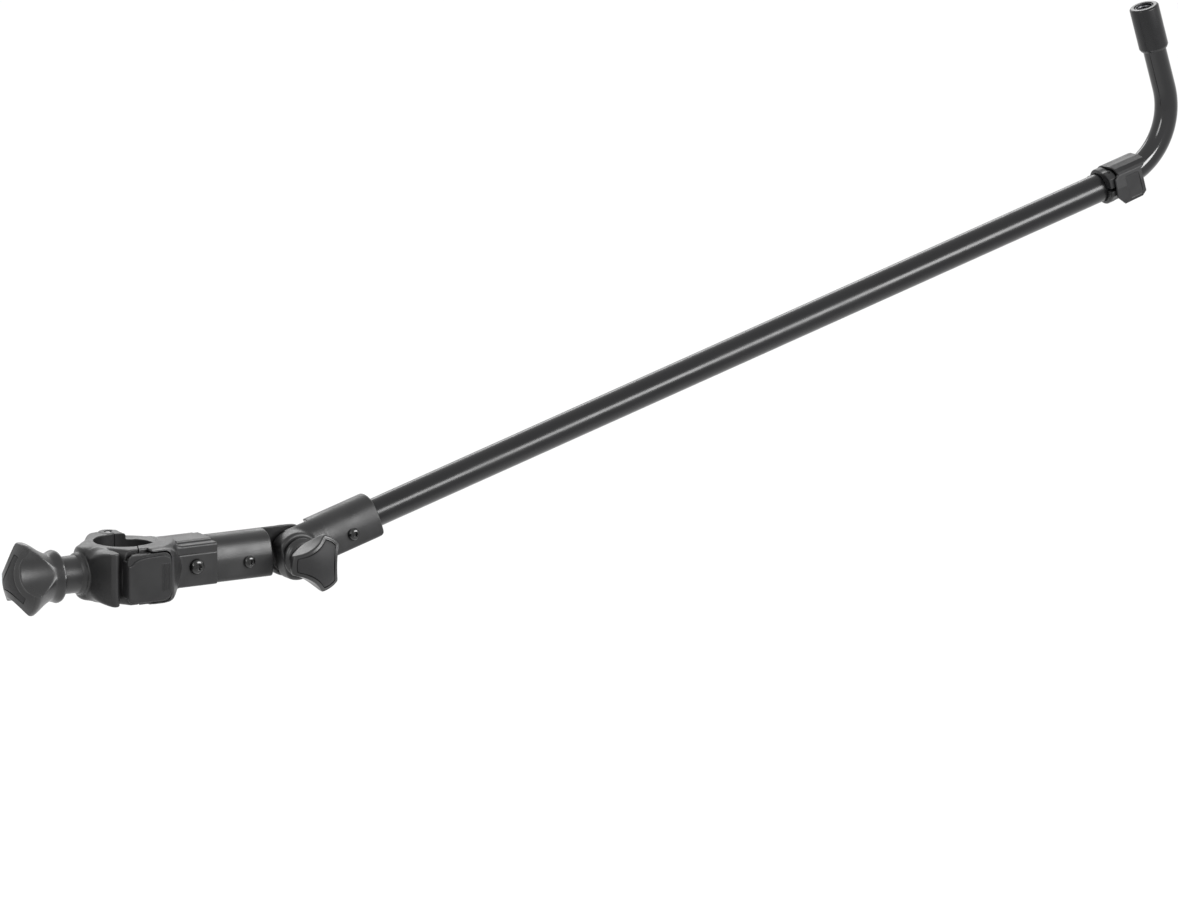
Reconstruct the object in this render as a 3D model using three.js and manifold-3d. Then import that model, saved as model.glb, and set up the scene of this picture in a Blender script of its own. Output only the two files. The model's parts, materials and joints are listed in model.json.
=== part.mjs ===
// Clamp-on telescoping boom arm: a hinged ring clamp for a 35 mm pole, a tilt
// joint, an outer tube with a flip-lever lock and a bent inner tube that ends
// in a threaded sleeve. Millimetres, +Z up along the pole, +X along the arm.
import * as THREE from 'three';
import { mergeVertices } from 'three/addons/utils/BufferGeometryUtils.js';
import Module from 'manifold-3d';

const wasm = await Module();
wasm.setup();

// ---------------------------------------------------------------- dimensions
const GAP = 0.3;                  // clearance between pieces that touch

// ring clamp
const BORE_R = 18.3;              // takes a 35 mm pole
const RING_R = 30;
const RING_H = 16.7;              // half height
const HINGE_X = 3;                // jaw hinge, at the back of the ring
const HINGE_Y = 26;
const BARREL_R = 6;
const KNUCKLE_H = 7.7;            // half height of the jaw's knuckle
const PIN_R = 2.2;
const BLOCK_END = 53.6;           // socket block that carries the arm
const BLOCK_HALF_W = 16;
const BLOCK_HALF_H = 12.6;
const SPIGOT_R = 8;

// fasteners: radii, head sizes and the (x, z) position of each screw
const M4 = 2;
const M5 = 2.5;
const M4_HEAD = { r: 3.8, height: 2.2, hex: 2.5 };
const M5_HEAD = { r: 4.75, height: 2.75, hex: 3 };
const M5_NUT = 8;                 // across flats
const NUT_SEAT = 11.8;            // y of the nut's seat
const BOLT_HEX = 13;
const BOLT_SEAT = 8.2;
const BLOCK_SCREW = [39.5, -0.5];
const STUB_SCREW = [76, -2.2];
const SOCKET_SCREW = [37.5, -0.9]; // in the arm's frame

// jaw, neck and clamp screw
const NECK_R = 11;
const NECK_END = -48.6;
const SCREW_R = 3.8;
const PAD_IN = 17.9;              // radius of the pad's face
const PAD_OUT = 21.6;
const PAD_TRAVEL_BACK = 2;

// latch
const LATCH_X = -1;
const LATCH_Y = -28.8;
const LATCH_H = 14.6;             // half height
const LATCH_L = -15.2;
const LATCH_RIGHT = 13.8;
const LATCH_FACE = -34;
const LATCH_PIN_R = 1.5;
const SPRING_X = 9;
const SPRING_R = 1.8;

// tilt joint and arm
const PIVOT_X = 110;
const PIVOT_Z = -2.9;
const TILT = 16.3;                // degrees above horizontal
const EAR_R = 14.5;
const EAR_FACE = 13.4;
const EAR_INNER = 1.2;            // inner face of each ear
const ARM_EAR_FLAT = 10.7;        // the arm's ear is cut flat this far behind the tilt axis
const STUB_END = 92.2;
const BOLT_R = 3.8;
const TUBE_N = 0.7;               // tube axis above the pivot
const SOCKET_END = 57.3;
const SOCKET_TOP = 14;            // over the tube axis
const SOCKET_LOW = -10.7;
const SOCKET_HALF_W = 13.6;
const OUTER_R = 8.7;
const OUTER_WALL = 1.2;
const OUTER_START = 25;
const OUTER_END = 603.3;
const INNER_R = 7.15;
const INNER_WALL = 1.1;
const INNER_START = 66;
const BEND_START = 604.4;
const BEND_R = 42.7;
const SLEEVE_R = 9.1;
const SLEEVE_LOW = 68.2;          // height of the sleeve's ends over the tube axis
const SLEEVE_TOP = 96.3;
const COLLAR_START = 587.3;
const COLLAR_END = 603.7;
const COLLAR_R = 10.3;            // under the lever; the collar's lip is larger
const LEVER_PIN_Y = 13;
const LEVER_PIN_N = 2;
const LEVER_BARREL_R = 2.4;
const LEVER_PIN_R = 1.2;

// ------------------------------------------------------------------ materials
const finish = (color, roughness, metalness) =>
  new THREE.MeshStandardMaterial({ color, roughness, metalness });
const CASTING = finish(0x2b2c2e, 0.55, 0.4);
const MOULDED = finish(0x1c1d1f, 0.45, 0.0);
const TUBE_BLACK = finish(0x17181a, 0.25, 0.6);
const STEEL_BLACK = finish(0x131315, 0.3, 0.9);
const STEEL = finish(0x9a9c9f, 0.35, 1.0);
const BRASS = finish(0xb08d4a, 0.35, 1.0);
const RUBBER = finish(0x151515, 0.9, 0.0);

// -------------------------------------------------------------------- solids
function solid(geometry) {
  const bare = new THREE.BufferGeometry();
  bare.setAttribute('position', geometry.getAttribute('position').clone());
  if (geometry.index) bare.setIndex(geometry.index.clone());
  const merged = mergeVertices(bare, 1e-4);
  const index = merged.index.array;
  const kept = [];
  for (let i = 0; i < index.length; i += 3) {
    const [a, b, c] = [index[i], index[i + 1], index[i + 2]];
    if (a !== b && b !== c && c !== a) kept.push(a, b, c);
  }
  return new wasm.Manifold(new wasm.Mesh({
    numProp: 3,
    vertProperties: new Float32Array(merged.getAttribute('position').array),
    triVerts: new Uint32Array(kept),
  }));
}

const union = (first, ...rest) => rest.reduce((sum, next) => sum.add(next), first);
const cut = (first, ...rest) => rest.reduce((sum, next) => sum.subtract(next), first);

function box(x0, x1, y0, y1, z0, z1) {
  const geometry = new THREE.BoxGeometry(x1 - x0, y1 - y0, z1 - z0);
  geometry.translate((x0 + x1) / 2, (y0 + y1) / 2, (z0 + z1) / 2);
  return solid(geometry);
}

// shape plane and direction of extrusion for a prism along each axis
const PLANES = {
  x: [[0, 1, 0], [0, 0, 1], [1, 0, 0]],
  y: [[1, 0, 0], [0, 0, 1], [0, -1, 0]],
  z: [[1, 0, 0], [0, 1, 0], [0, 0, 1]],
};

// A prism of an outline between two stations of an axis. Along x the outline is
// in (y, z), along y in (x, z), along z in (x, y).
function prism(axis, shape, from, to, bevel = 0, curveSegments = 4) {
  const [low, high] = axis === 'y' ? [-to, -from] : [from, to];
  const geometry = new THREE.ExtrudeGeometry(shape, {
    depth: high - low - 2 * bevel,
    bevelEnabled: bevel > 0,
    bevelThickness: bevel,
    bevelSize: bevel,
    bevelOffset: -bevel,
    bevelSegments: 2,
    curveSegments,
  });
  geometry.translate(0, 0, low + bevel);
  const [u, v, w] = PLANES[axis].map((vector) => new THREE.Vector3(...vector));
  geometry.applyMatrix4(new THREE.Matrix4().makeBasis(u, v, w));
  return solid(geometry);
}

// A turned solid: its profile lists (radius, station) from axis to axis.
function turned(axis, profile, c1 = 0, c2 = 0, segments = 40) {
  const points = profile.map(([r, station]) => new THREE.Vector2(r, station));
  const geometry = new THREE.LatheGeometry(points, segments);
  const turn = {
    x: () => geometry.rotateZ(-Math.PI / 2).translate(0, c1, c2),
    y: () => geometry.translate(c1, 0, c2),
    z: () => geometry.rotateX(Math.PI / 2).translate(c1, c2, 0),
  };
  turn[axis]();
  return solid(geometry);
}

function rod(axis, r, from, to, c1 = 0, c2 = 0, chamfer = 0, segments = 32) {
  const profile = chamfer > 0
    ? [[0, from], [r - chamfer, from], [r, from + chamfer],
      [r, to - chamfer], [r - chamfer, to], [0, to]]
    : [[0, from], [r, from], [r, to], [0, to]];
  return turned(axis, profile, c1, c2, segments);
}

function outline(points) {
  return new THREE.Shape(points.map(([a, b]) => new THREE.Vector2(a, b)));
}

function disc(r, a = 0, b = 0) {
  return new THREE.Shape().absarc(a, b, r, 0, 2 * Math.PI, false);
}

function hexagon(acrossFlats, a = 0, b = 0) {
  const r = acrossFlats / Math.sqrt(3);
  const corner = (i) => (i * Math.PI) / 3;
  const points = [0, 1, 2, 3, 4, 5].map((i) =>
    [a + r * Math.cos(corner(i)), b + r * Math.sin(corner(i))]);
  return outline(points);
}

function roundedRect(a0, a1, b0, b1, r) {
  const shape = new THREE.Shape();
  shape.absarc(a1 - r, b0 + r, r, -Math.PI / 2, 0, false);
  shape.absarc(a1 - r, b1 - r, r, 0, Math.PI / 2, false);
  shape.absarc(a0 + r, b1 - r, r, Math.PI / 2, Math.PI, false);
  shape.absarc(a0 + r, b0 + r, r, Math.PI, 1.5 * Math.PI, false);
  return shape;
}

// The arch section of the stub and the arm socket: half round over straight
// sides over a flat base with rounded corners.
function archShape(halfWidth, bottom, top) {
  const corner = 3.5;
  const r = Math.min(14, top - bottom);
  const spring = Math.acos(halfWidth / r);
  const centre = top - r;
  const shape = new THREE.Shape();
  shape.absarc(halfWidth - corner, bottom + corner, corner, -Math.PI / 2, 0, false);
  shape.absarc(0, centre, r, spring, Math.PI - spring, false);
  shape.absarc(-halfWidth + corner, bottom + corner, corner, Math.PI, 1.5 * Math.PI, false);
  return shape;
}

// A body of revolution whose profile changes with the angle around the local y
// axis. stations(angle) gives the same number of (radius, height) pairs at each
// angle, from the axis to the axis.
function lobedSolid(stations, columns = 60) {
  const count = stations(0).length;
  const blank = Array.from({ length: count }, (_, i) => new THREE.Vector2(1, i));
  const geometry = new THREE.LatheGeometry(blank, columns);
  const position = geometry.getAttribute('position');
  for (let column = 0; column <= columns; column += 1) {
    const angle = (2 * Math.PI * (column % columns)) / columns;
    stations(angle).forEach(([r, height], row) => {
      const x = r * Math.sin(angle);
      const z = r * Math.cos(angle);
      position.setXYZ(column * count + row, x, height, z);
    });
  }
  return solid(geometry);
}

function part(name, manifold, material) {
  const mesh = manifold.getMesh();
  const geometry = new THREE.BufferGeometry();
  const count = mesh.vertProperties.length / mesh.numProp;
  const positions = new Float32Array(count * 3);
  for (let i = 0; i < count; i += 1) {
    for (let k = 0; k < 3; k += 1) {
      positions[3 * i + k] = mesh.vertProperties[i * mesh.numProp + k];
    }
  }
  geometry.setAttribute('position', new THREE.BufferAttribute(positions, 3));
  geometry.setIndex(new THREE.BufferAttribute(new Uint32Array(mesh.triVerts), 1));
  geometry.computeVertexNormals();
  const piece = new THREE.Mesh(geometry, material);
  piece.name = name;
  return piece;
}

// ------------------------------------------------------------- tri-lobe knobs
// A flared cup with a round skirt and a domed end. Three round scoops cut into
// its side and leave three lobes between them.
const mix = (a, b, t) => a + (b - a) * t;
const softMin = (a, b, k) => {
  const h = Math.max(k - Math.abs(a - b), 0) / k;
  return Math.min(a, b) - (h * h * k) / 4;
};

const CLAMP_KNOB = {
  lobeR: 22.3, valleyR: 11.5, scoopLow: 15.2, scoopR: 17.9, length: 23.2, dome: 32,
  panel: { lobeR: 15.5, valleyR: 6, scoopR: 19.7 },
  flare: [[15.6, 0.6], [15.7, 1.9], [14.6, 4.4], [14.3, 6.6], [15.6, 9.8], [17.5, 13.1], [19.6, 16.2],
    [21.3, 18.9], [22.7, 21.8], [24, 30]],
  phase: THREE.MathUtils.degToRad(-8),
};
const TILT_KNOB = {
  lobeR: 17.6, valleyR: 11.2, scoopLow: 12, scoopR: 29.2, length: 21.6, dome: 28,
  panel: { lobeR: 14.8, valleyR: 8.6, scoopR: 25 },
  flare: [[11.5, 0.6], [11.6, 1.4], [9.8, 3.6], [9.2, 5.6], [10, 8.4], [11.8, 11.6], [14.2, 14.6],
    [16.4, 17.2], [17.9, 20.2], [19, 28]],
  phase: THREE.MathUtils.degToRad(148),
};

const domeHeight = (k, r) => k.length + (k.lobeR ** 2 - r ** 2) / (2 * k.dome);

// How far from the axis the scoops' surface is. The nearest point of each scoop
// is midway between two lobes.
function scoopRadius(angle, phase, nearest, scoopR) {
  const pitch = (2 * Math.PI) / 3;
  const turn = (angle - phase) / pitch;
  const off = (turn - Math.floor(turn) - 0.5) * pitch;
  const centre = nearest + scoopR;
  const aside = centre * Math.sin(off);
  if (Math.abs(aside) >= scoopR) return Infinity;
  return centre * Math.cos(off) - Math.sqrt(scoopR * scoopR - aside * aside);
}

const lobedRadius = (angle, phase, { lobeR, valleyR, scoopR }) =>
  softMin(lobeR, scoopRadius(angle, phase, valleyR, scoopR), 2);

function flareRadius(k, height) {
  const above = k.flare.findIndex(([, h]) => h > height);
  const [r0, h0] = k.flare[above - 1];
  const [r1, h1] = k.flare[above];
  return Math.min(k.lobeR, mix(r0, r1, (height - h0) / (h1 - h0)));
}

function knobStations(k) {
  return (angle) => {
    const rim = lobedRadius(angle, k.phase, k);
    const rimHeight = domeHeight(k, rim);
    const side = [0.6, 1.9, 3.4, 5.4, 8, 11, 14, 17, 20, rimHeight - 1].map((height) => {
      const nearest = mix(k.valleyR, k.scoopLow, (1 - height / rimHeight) ** 1.6);
      return [softMin(flareRadius(k, height), scoopRadius(angle, k.phase, nearest, k.scoopR), 1.4), height];
    });
    return [
      [0, 0], [side[0][0] - 0.6, 0], ...side,
      [rim - 1, domeHeight(k, rim - 1)],
      [rim * 0.66, domeHeight(k, rim * 0.66)],
      [rim * 0.33, domeHeight(k, rim * 0.33)],
      [0, domeHeight(k, 0)],
    ];
  };
}

// The end panel, or with a positive growth the recess that it sits in.
function panelStations(k, growth) {
  const depth = 1.6 + growth;
  const lift = growth > 0 ? 3 : -0.15;
  return (angle) => {
    const edge = lobedRadius(angle, k.phase, k.panel) + growth;
    const mid = edge * 0.5;
    return [
      [0, domeHeight(k, 0) - depth],
      [mid, domeHeight(k, mid) - depth],
      [edge, domeHeight(k, edge) - depth],
      [edge, domeHeight(k, edge) + lift],
      [mid, domeHeight(k, mid) + lift],
      [0, domeHeight(k, 0) + lift],
    ];
  };
}

function knobBody(k, bores) {
  const body = lobedSolid(knobStations(k)).subtract(lobedSolid(panelStations(k, GAP)));
  return cut(body, ...bores);
}

const knobPanel = (k) => lobedSolid(panelStations(k, 0));

// ---------------------------------------------------------- shared fasteners
// A button-head screw along -Y: its head stands on the face at y.
function buttonScrew(face, shankEnd, { r: headR, height: headH, hex }, shankR, x, z) {
  const head = turned('y', [
    [0, face - headH], [headR * 0.55, face - headH], [headR * 0.86, face - headH * 0.6],
    [headR, face - GAP], [shankR, face - GAP], [shankR, shankEnd], [0, shankEnd],
  ], x, z, 28);
  return head.subtract(prism('y', hexagon(hex, x, z), face - headH - 1, face - headH + 1.4));
}

// ---------------------------------------------------------------- ring clamp
const ring = () => cut(
  prism('z', disc(RING_R), -RING_H, RING_H, 1.8, 28),
  rod('z', BORE_R, -RING_H - 1, RING_H + 1, 0, 0, 0, 56),
);

// The ring is split at the front along a slanting line and at the back through
// the hinge.
const SPLIT_IN = [-0.4, -17];
const SPLIT_OUT = [-8.2, -35];

const jawMask = () => prism('z', outline([
  [HINGE_X - GAP / 2, 60], [-60, 60], [-60, -60], [SPLIT_OUT[0] - GAP, -60],
  [SPLIT_OUT[0] - GAP, SPLIT_OUT[1]], [SPLIT_IN[0] - GAP, SPLIT_IN[1]], [HINGE_X - GAP / 2, 0],
]), -40, 40);

const bodyMask = () => prism('z', outline([
  [HINGE_X + GAP / 2, 60], [HINGE_X + GAP / 2, 0], SPLIT_IN, SPLIT_OUT,
  [SPLIT_OUT[0], -60], [60, -60], [60, 60],
]), -40, 40);

const barrel = (r, z0, z1) => rod('z', r, z0, z1, HINGE_X, HINGE_Y, 0, 36);

function clampBody() {
  const tongueH = LATCH_H - 2 - GAP;
  const lugHalfH = RING_H - 0.2;
  const lugPlan = prism('z', outline([
    [-12, -25.8], [-12, -14], [30, -14], [28.5, -16.6], [25, -20.8], [20.5, -26.2], [16.8, -30.4],
    [13.4, -32.2], [1.6, -32.2], [1.6, -25.8],
  ]), -lugHalfH, lugHalfH, 0.8);
  const lugFront = prism('y', outline([
    [-60, -lugHalfH], [9.7, -lugHalfH], [15.6, -15.2], [22.6, -11.3], [27.8, -4.6], [28.8, 0],
    [27.8, 4.6], [22.6, 11.3], [15.6, 15.2], [9.7, lugHalfH], [-60, lugHalfH],
  ]), -60, 0);
  const lug = union(box(-12, 1.6, -30.7, -20, -tongueH, tongueH), lugPlan.intersect(lugFront))
    .intersect(bodyMask());
  const block = prism('x', outline([
    [-BLOCK_HALF_W, -BLOCK_HALF_H + 2], [-BLOCK_HALF_W + 2, -BLOCK_HALF_H],
    [BLOCK_HALF_W - 2, -BLOCK_HALF_H], [BLOCK_HALF_W, -BLOCK_HALF_H + 2],
    [BLOCK_HALF_W, 11.4], [15.4, 12], [10.6, 12], [10, 11.2], [9.2, 11.2], [8.4, 13.6],
    [-8.4, 13.6], [-9.2, 11.2], [-10, 11.2], [-10.6, 12], [-15.4, 12], [-BLOCK_HALF_W, 11.4],
  ]), 14, BLOCK_END);
  const gusset = prism('y', outline([[16, 11], [16, 16], [22, 15.6], [29, 12.6], [29, 11]]), -15.2, -6.5);
  const knuckles = union(
    barrel(BARREL_R, KNUCKLE_H + GAP, RING_H),
    barrel(BARREL_R, -RING_H, -KNUCKLE_H - GAP),
  );
  const recess = prism('y', roundedRect(LATCH_L - 20, LATCH_RIGHT + 0.6, -LATCH_H - 0.5, LATCH_H + 0.5, 5),
    -40, -25.5);
  const recessZone = box(1, 30, -40, -25.5, -20, 20);
  const wallRoom = box(-14, 1.6, -40, -25.8, -20, 20);
  const lowSide = (z0, z1) => box(9.4, 60, -6.5, 60, z0, z1);
  const shell = cut(ring().intersect(bodyMask()), wallRoom, lowSide(13.2, 20), lowSide(-20, -13.2));
  return cut(
    union(shell, lug, block, gusset, knuckles),
    rod('z', BORE_R, -20, 20, 0, 0, 0, 56),
    barrel(BARREL_R + GAP, -KNUCKLE_H - GAP, KNUCKLE_H + GAP),
    rod('z', PIN_R + GAP, -RING_H - 1, RING_H + 1, HINGE_X, HINGE_Y),
    recess.intersect(recessZone),
    rod('z', LATCH_PIN_R + GAP, -20, 20, LATCH_X, LATCH_Y, 0, 20),
    rod('y', SPRING_R + 0.6, -26, -24.7, SPRING_X, 0, 0, 20),
    rod('x', SPIGOT_R + GAP, 27, BLOCK_END + 1, 0, 0, 0, 40),
    rod('y', M5 + GAP, -BLOCK_HALF_W - 1, BLOCK_HALF_W + 1, ...BLOCK_SCREW, 0, 24),
    prism('y', hexagon(M5_NUT + 2 * GAP, ...BLOCK_SCREW), NUT_SEAT, BLOCK_HALF_W + 1),
  );
}

function swingJaw() {
  const boss = prism('z', outline([
    [-29.2, -8], [-29.4, -12.4], [-20.6, -29.4], [-17.8, -29.4], [-17.8, -20], [-22, -8],
  ]), -16, 16, 0.8).intersect(prism('y', roundedRect(-29.6, 40, -16, 16, 8), -40, 0));
  const neck = turned('x', [
    [0, NECK_END], [NECK_R - 0.8, NECK_END], [NECK_R, NECK_END + 0.8],
    [NECK_R + 0.7, -31.6], [NECK_R + 1.5, -30.6], [NECK_R + 1.5, -26], [0, -26],
  ], 0, 0, 48);
  const ridge = box(-11.6, -8.4, -28.2, -23, -11.4, 11.4);
  const innerEnd = box(-17.8, 6, -40, -25.6, -30, 30);
  const padSweep = prism('z', sector(BORE_R - 2, PAD_OUT + PAD_TRAVEL_BACK + 0.5, 48), -11.9, 11.9);
  const taper = turned('x', [[0, -34], [14.4, -34], [17, -26], [22, -18], [44, 0], [44, 44], [0, 44]],
    0, 0, 48);
  return cut(
    union(cut(ring().intersect(jawMask()).intersect(taper), innerEnd), boss, neck, ridge,
      barrel(BARREL_R, -KNUCKLE_H, KNUCKLE_H)),
    rod('z', BORE_R, -20, 20, 0, 0, 0, 56),
    barrel(BARREL_R + GAP, KNUCKLE_H, 30),
    barrel(BARREL_R + GAP, -30, -KNUCKLE_H),
    rod('z', PIN_R + GAP, -20, 20, HINGE_X, HINGE_Y),
    padSweep,
    rod('x', 5.6, -27.2, -20),
    rod('x', SCREW_R + 0.6, NECK_END - 1, -20),
    rod('x', 6, NECK_END - 1, -37),
  );
}

// An arc of a ring about the -X direction, half its span on each side.
function sector(inner, outer, halfSpan) {
  const half = THREE.MathUtils.degToRad(halfSpan);
  const shape = new THREE.Shape();
  shape.absarc(0, 0, outer, Math.PI - half, Math.PI + half, false);
  shape.absarc(0, 0, inner, Math.PI + half, Math.PI - half, true);
  return shape;
}

function hingePin() {
  return rod('z', PIN_R, -RING_H + 0.3, RING_H - 0.3, HINGE_X, HINGE_Y, 0.4, 24);
}

const latchPin = () => rod('z', LATCH_PIN_R, -14.2, 14.2, LATCH_X, LATCH_Y, 0.3, 20);

function latchLever() {
  const plate = prism('y', roundedRect(LATCH_L, LATCH_RIGHT, -LATCH_H, LATCH_H, 5), LATCH_FACE, -31, 0.7);
  const wall = (z0, z1) => prism('z', outline([
    [LATCH_L + 4, -32], [LATCH_L + 3.4, -29.6], [-6, -26.2], [1.2, -26.2], [1.2, -32],
  ]), z0, z1);
  const nose = box(LATCH_L + 0.2, LATCH_L + 2.9, -32, -26.2, -11, 11);
  const ribs = [0, 1, 2, 3, 4].map((i) =>
    box(7 + i * 1.1, 7.5 + i * 1.1, LATCH_FACE - 0.35, -33, -8, 8));
  return cut(
    union(plate, wall(LATCH_H - 2, LATCH_H - 0.02), wall(-LATCH_H + 0.02, -LATCH_H + 2), nose, ...ribs),
    rod('z', LATCH_PIN_R + GAP, -20, 20, LATCH_X, LATCH_Y, 0, 20),
    rod('y', SPRING_R + 0.8, -32.2, -30, SPRING_X, 0, 0, 20),
  );
}

function latchSpring() {
  class Coil extends THREE.Curve {
    getPoint(t) {
      const turns = 4;
      const angle = 2 * Math.PI * turns * t;
      const across = SPRING_X + SPRING_R * Math.cos(angle);
      return new THREE.Vector3(across, mix(-31.6, -25.2, t), SPRING_R * Math.sin(angle));
    }
  }
  const wire = new THREE.ExtrudeGeometry(
    new THREE.Shape().absarc(0, 0, 0.3, 0, 2 * Math.PI, false),
    { steps: 40, curveSegments: 3, bevelEnabled: false, extrudePath: new Coil() },
  );
  return solid(wire);
}

// --------------------------------------------------- clamp screw and its pad
function neckInsert() {
  return cut(rod('x', 6 - GAP, NECK_END + 0.4, -37 - GAP, 0, 0, 0.4),
    rod('x', SCREW_R + GAP, NECK_END - 2, -30));
}

function padShoe() {
  return cut(
    union(prism('z', sector(PAD_IN + 1.5, PAD_OUT, 37), -11.2, 11.2),
      rod('x', 5, -24.6, -20.4, 0, 0, 0.4)),
    rod('x', 2.9 + GAP, -25.5, -22),
  );
}

const padFace = () => prism('z', sector(PAD_IN, PAD_IN + 1.5 - GAP, 36), -10.8, 10.8);

function clampScrew() {
  return turned('x', [
    [0, -64], [SCREW_R, -64], [SCREW_R, -26.4], [2.9, -25.4], [2.9, -22.4], [0, -22.4],
  ]);
}

// Local frame of a knob: the axis is +y, the skirt's rear face is y = 0.
function clampKnobBody() {
  return knobBody(CLAMP_KNOB, [
    rod('y', NECK_R + 0.7, -1, 10.4),
    rod('y', SCREW_R + GAP, -1, 18.6),
  ]);
}

// ---------------------------------------------------------------- tilt joint
function stub() {
  const section = archShape(EAR_FACE, -12.9, 14);
  const earCentre = [PIVOT_X, PIVOT_Z];
  const ear = union(
    prism('y', disc(EAR_R, ...earCentre), EAR_INNER, EAR_FACE, 1.4, 18),
    prism('x', section, STUB_END - 4, PIVOT_X, 0, 7).intersect(box(0, 200, EAR_INNER, 40, -30, 30)),
  );
  return cut(
    union(prism('x', section, BLOCK_END + GAP, STUB_END, 0.6, 7), ear),
    rod('x', SPIGOT_R + GAP, BLOCK_END - 1, 88 + GAP, 0, 0, 0, 40),
    rod('y', M4 + GAP, -20, 2, ...STUB_SCREW, 0, 20),
    rod('y', BOLT_R + GAP, -20, 20, PIVOT_X, PIVOT_Z),
    prism('y', hexagon(BOLT_HEX + 2 * GAP, PIVOT_X, PIVOT_Z), BOLT_SEAT, 20),
  );
}

function spigot() {
  return cut(rod('x', SPIGOT_R, 27 + GAP, 88, 0, 0, 0.8, 40),
    rod('y', M5 + GAP, -20, 20, ...BLOCK_SCREW, 0, 24),
    rod('y', M4 + GAP, -20, 2.4, ...STUB_SCREW, 0, 20));
}

const stubScrew = () => buttonScrew(-EAR_FACE, 1.4, M4_HEAD, M4, ...STUB_SCREW);
const blockScrew = () => buttonScrew(-BLOCK_HALF_W, 15.6, M5_HEAD, M5, ...BLOCK_SCREW);

function blockNut() {
  return cut(prism('y', hexagon(M5_NUT, ...BLOCK_SCREW), NUT_SEAT + GAP, 15.7),
    rod('y', M5 + GAP, 5, 20, ...BLOCK_SCREW, 0, 24));
}

function tiltBolt() {
  const shank = rod('y', BOLT_R, -30, 9, PIVOT_X, PIVOT_Z, 0.5);
  return shank.add(prism('y', hexagon(BOLT_HEX, PIVOT_X, PIVOT_Z), BOLT_SEAT + GAP, 13.2, 0.4));
}

const washer = (rOut, y0, y1) => cut(rod('y', rOut, y0, y1, PIVOT_X, PIVOT_Z, 0, 40),
  rod('y', BOLT_R + GAP, y0 - 1, y1 + 1, PIVOT_X, PIVOT_Z, 0, 32));

const THRUST_REAR = -EAR_FACE - GAP;
const THRUST_FRONT = THRUST_REAR - 1.3;
const KNOB_REAR = -EAR_FACE - 0.9;

function tiltKnobBody() {
  return knobBody(TILT_KNOB, [
    rod('y', 9.3, -1, KNOB_REAR - THRUST_FRONT + GAP),
    rod('y', 5.8, -1, 16.2),
  ]);
}

function tiltKnobInsert() {
  return cut(rod('y', 5.8 - GAP, 1.4, 15.9, 0, 0, 0.4),
    rod('y', BOLT_R + GAP, 0, 20));
}

// ------------------------------------------------------- arm, in its own frame
// x runs along the tube from the pivot and z across it in the plane of the tilt.
const socketSection = () => archShape(SOCKET_HALF_W, TUBE_N + SOCKET_LOW, TUBE_N + SOCKET_TOP);

function armSocket() {
  const full = prism('x', socketSection(), 0, SOCKET_END, 0.6, 7);
  const clearance = 21.4;
  const ear = union(
    cut(prism('y', disc(EAR_R), -EAR_FACE, -EAR_INNER, 1.4, 18), box(-20, -ARM_EAR_FLAT, -20, 0, -20, 20)),
    prism('x', socketSection(), 0, 40, 0, 7).intersect(box(-1, 40, -EAR_FACE, -EAR_INNER, -30, 30)),
  );
  return cut(
    union(cut(full, prism('y', disc(clearance), -30, 30, 0, 18)), ear),
    rod('x', OUTER_R + GAP, OUTER_START - GAP, SOCKET_END + 1, 0, TUBE_N, 0, 48),
    rod('y', M4 + GAP, -20, -8, ...SOCKET_SCREW, 0, 20),
    rod('y', BOLT_R + GAP, -20, 20),
  );
}

const socketScrew = () => buttonScrew(-SOCKET_HALF_W, -7.9, M4_HEAD, M4, ...SOCKET_SCREW);

const pipe = (rOut, rIn, x0, x1, z, segments = 48) =>
  cut(rod('x', rOut, x0, x1, 0, z, 0, segments), rod('x', rIn, x0 - 1, x1 + 1, 0, z, 0, segments));

function outerTube() {
  return cut(pipe(OUTER_R, OUTER_R - OUTER_WALL, OUTER_START, OUTER_END, TUBE_N),
    rod('y', M4 + GAP, -20, -6, ...SOCKET_SCREW, 0, 20),
    box(COLLAR_START + 2, OUTER_END + 1, -12, -6, TUBE_N - 0.8, TUBE_N + 0.8));
}

// The lock's collar: a split ring round the end of the outer tube, with a
// block at its front and a lip at its open end.
const aroundTube = (points) => outline(points.map(([y, n]) => [y, n + TUBE_N]));
const leverRod = (r, x0, x1, chamfer = 0) =>
  rod('x', r, x0, x1, LEVER_PIN_Y, LEVER_PIN_N + TUBE_N, chamfer, 24);
const LIP_END = COLLAR_START + 5.2;
const BARREL_START = COLLAR_START + 7.6;
const TAB_END = COLLAR_START + 27.3;

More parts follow.
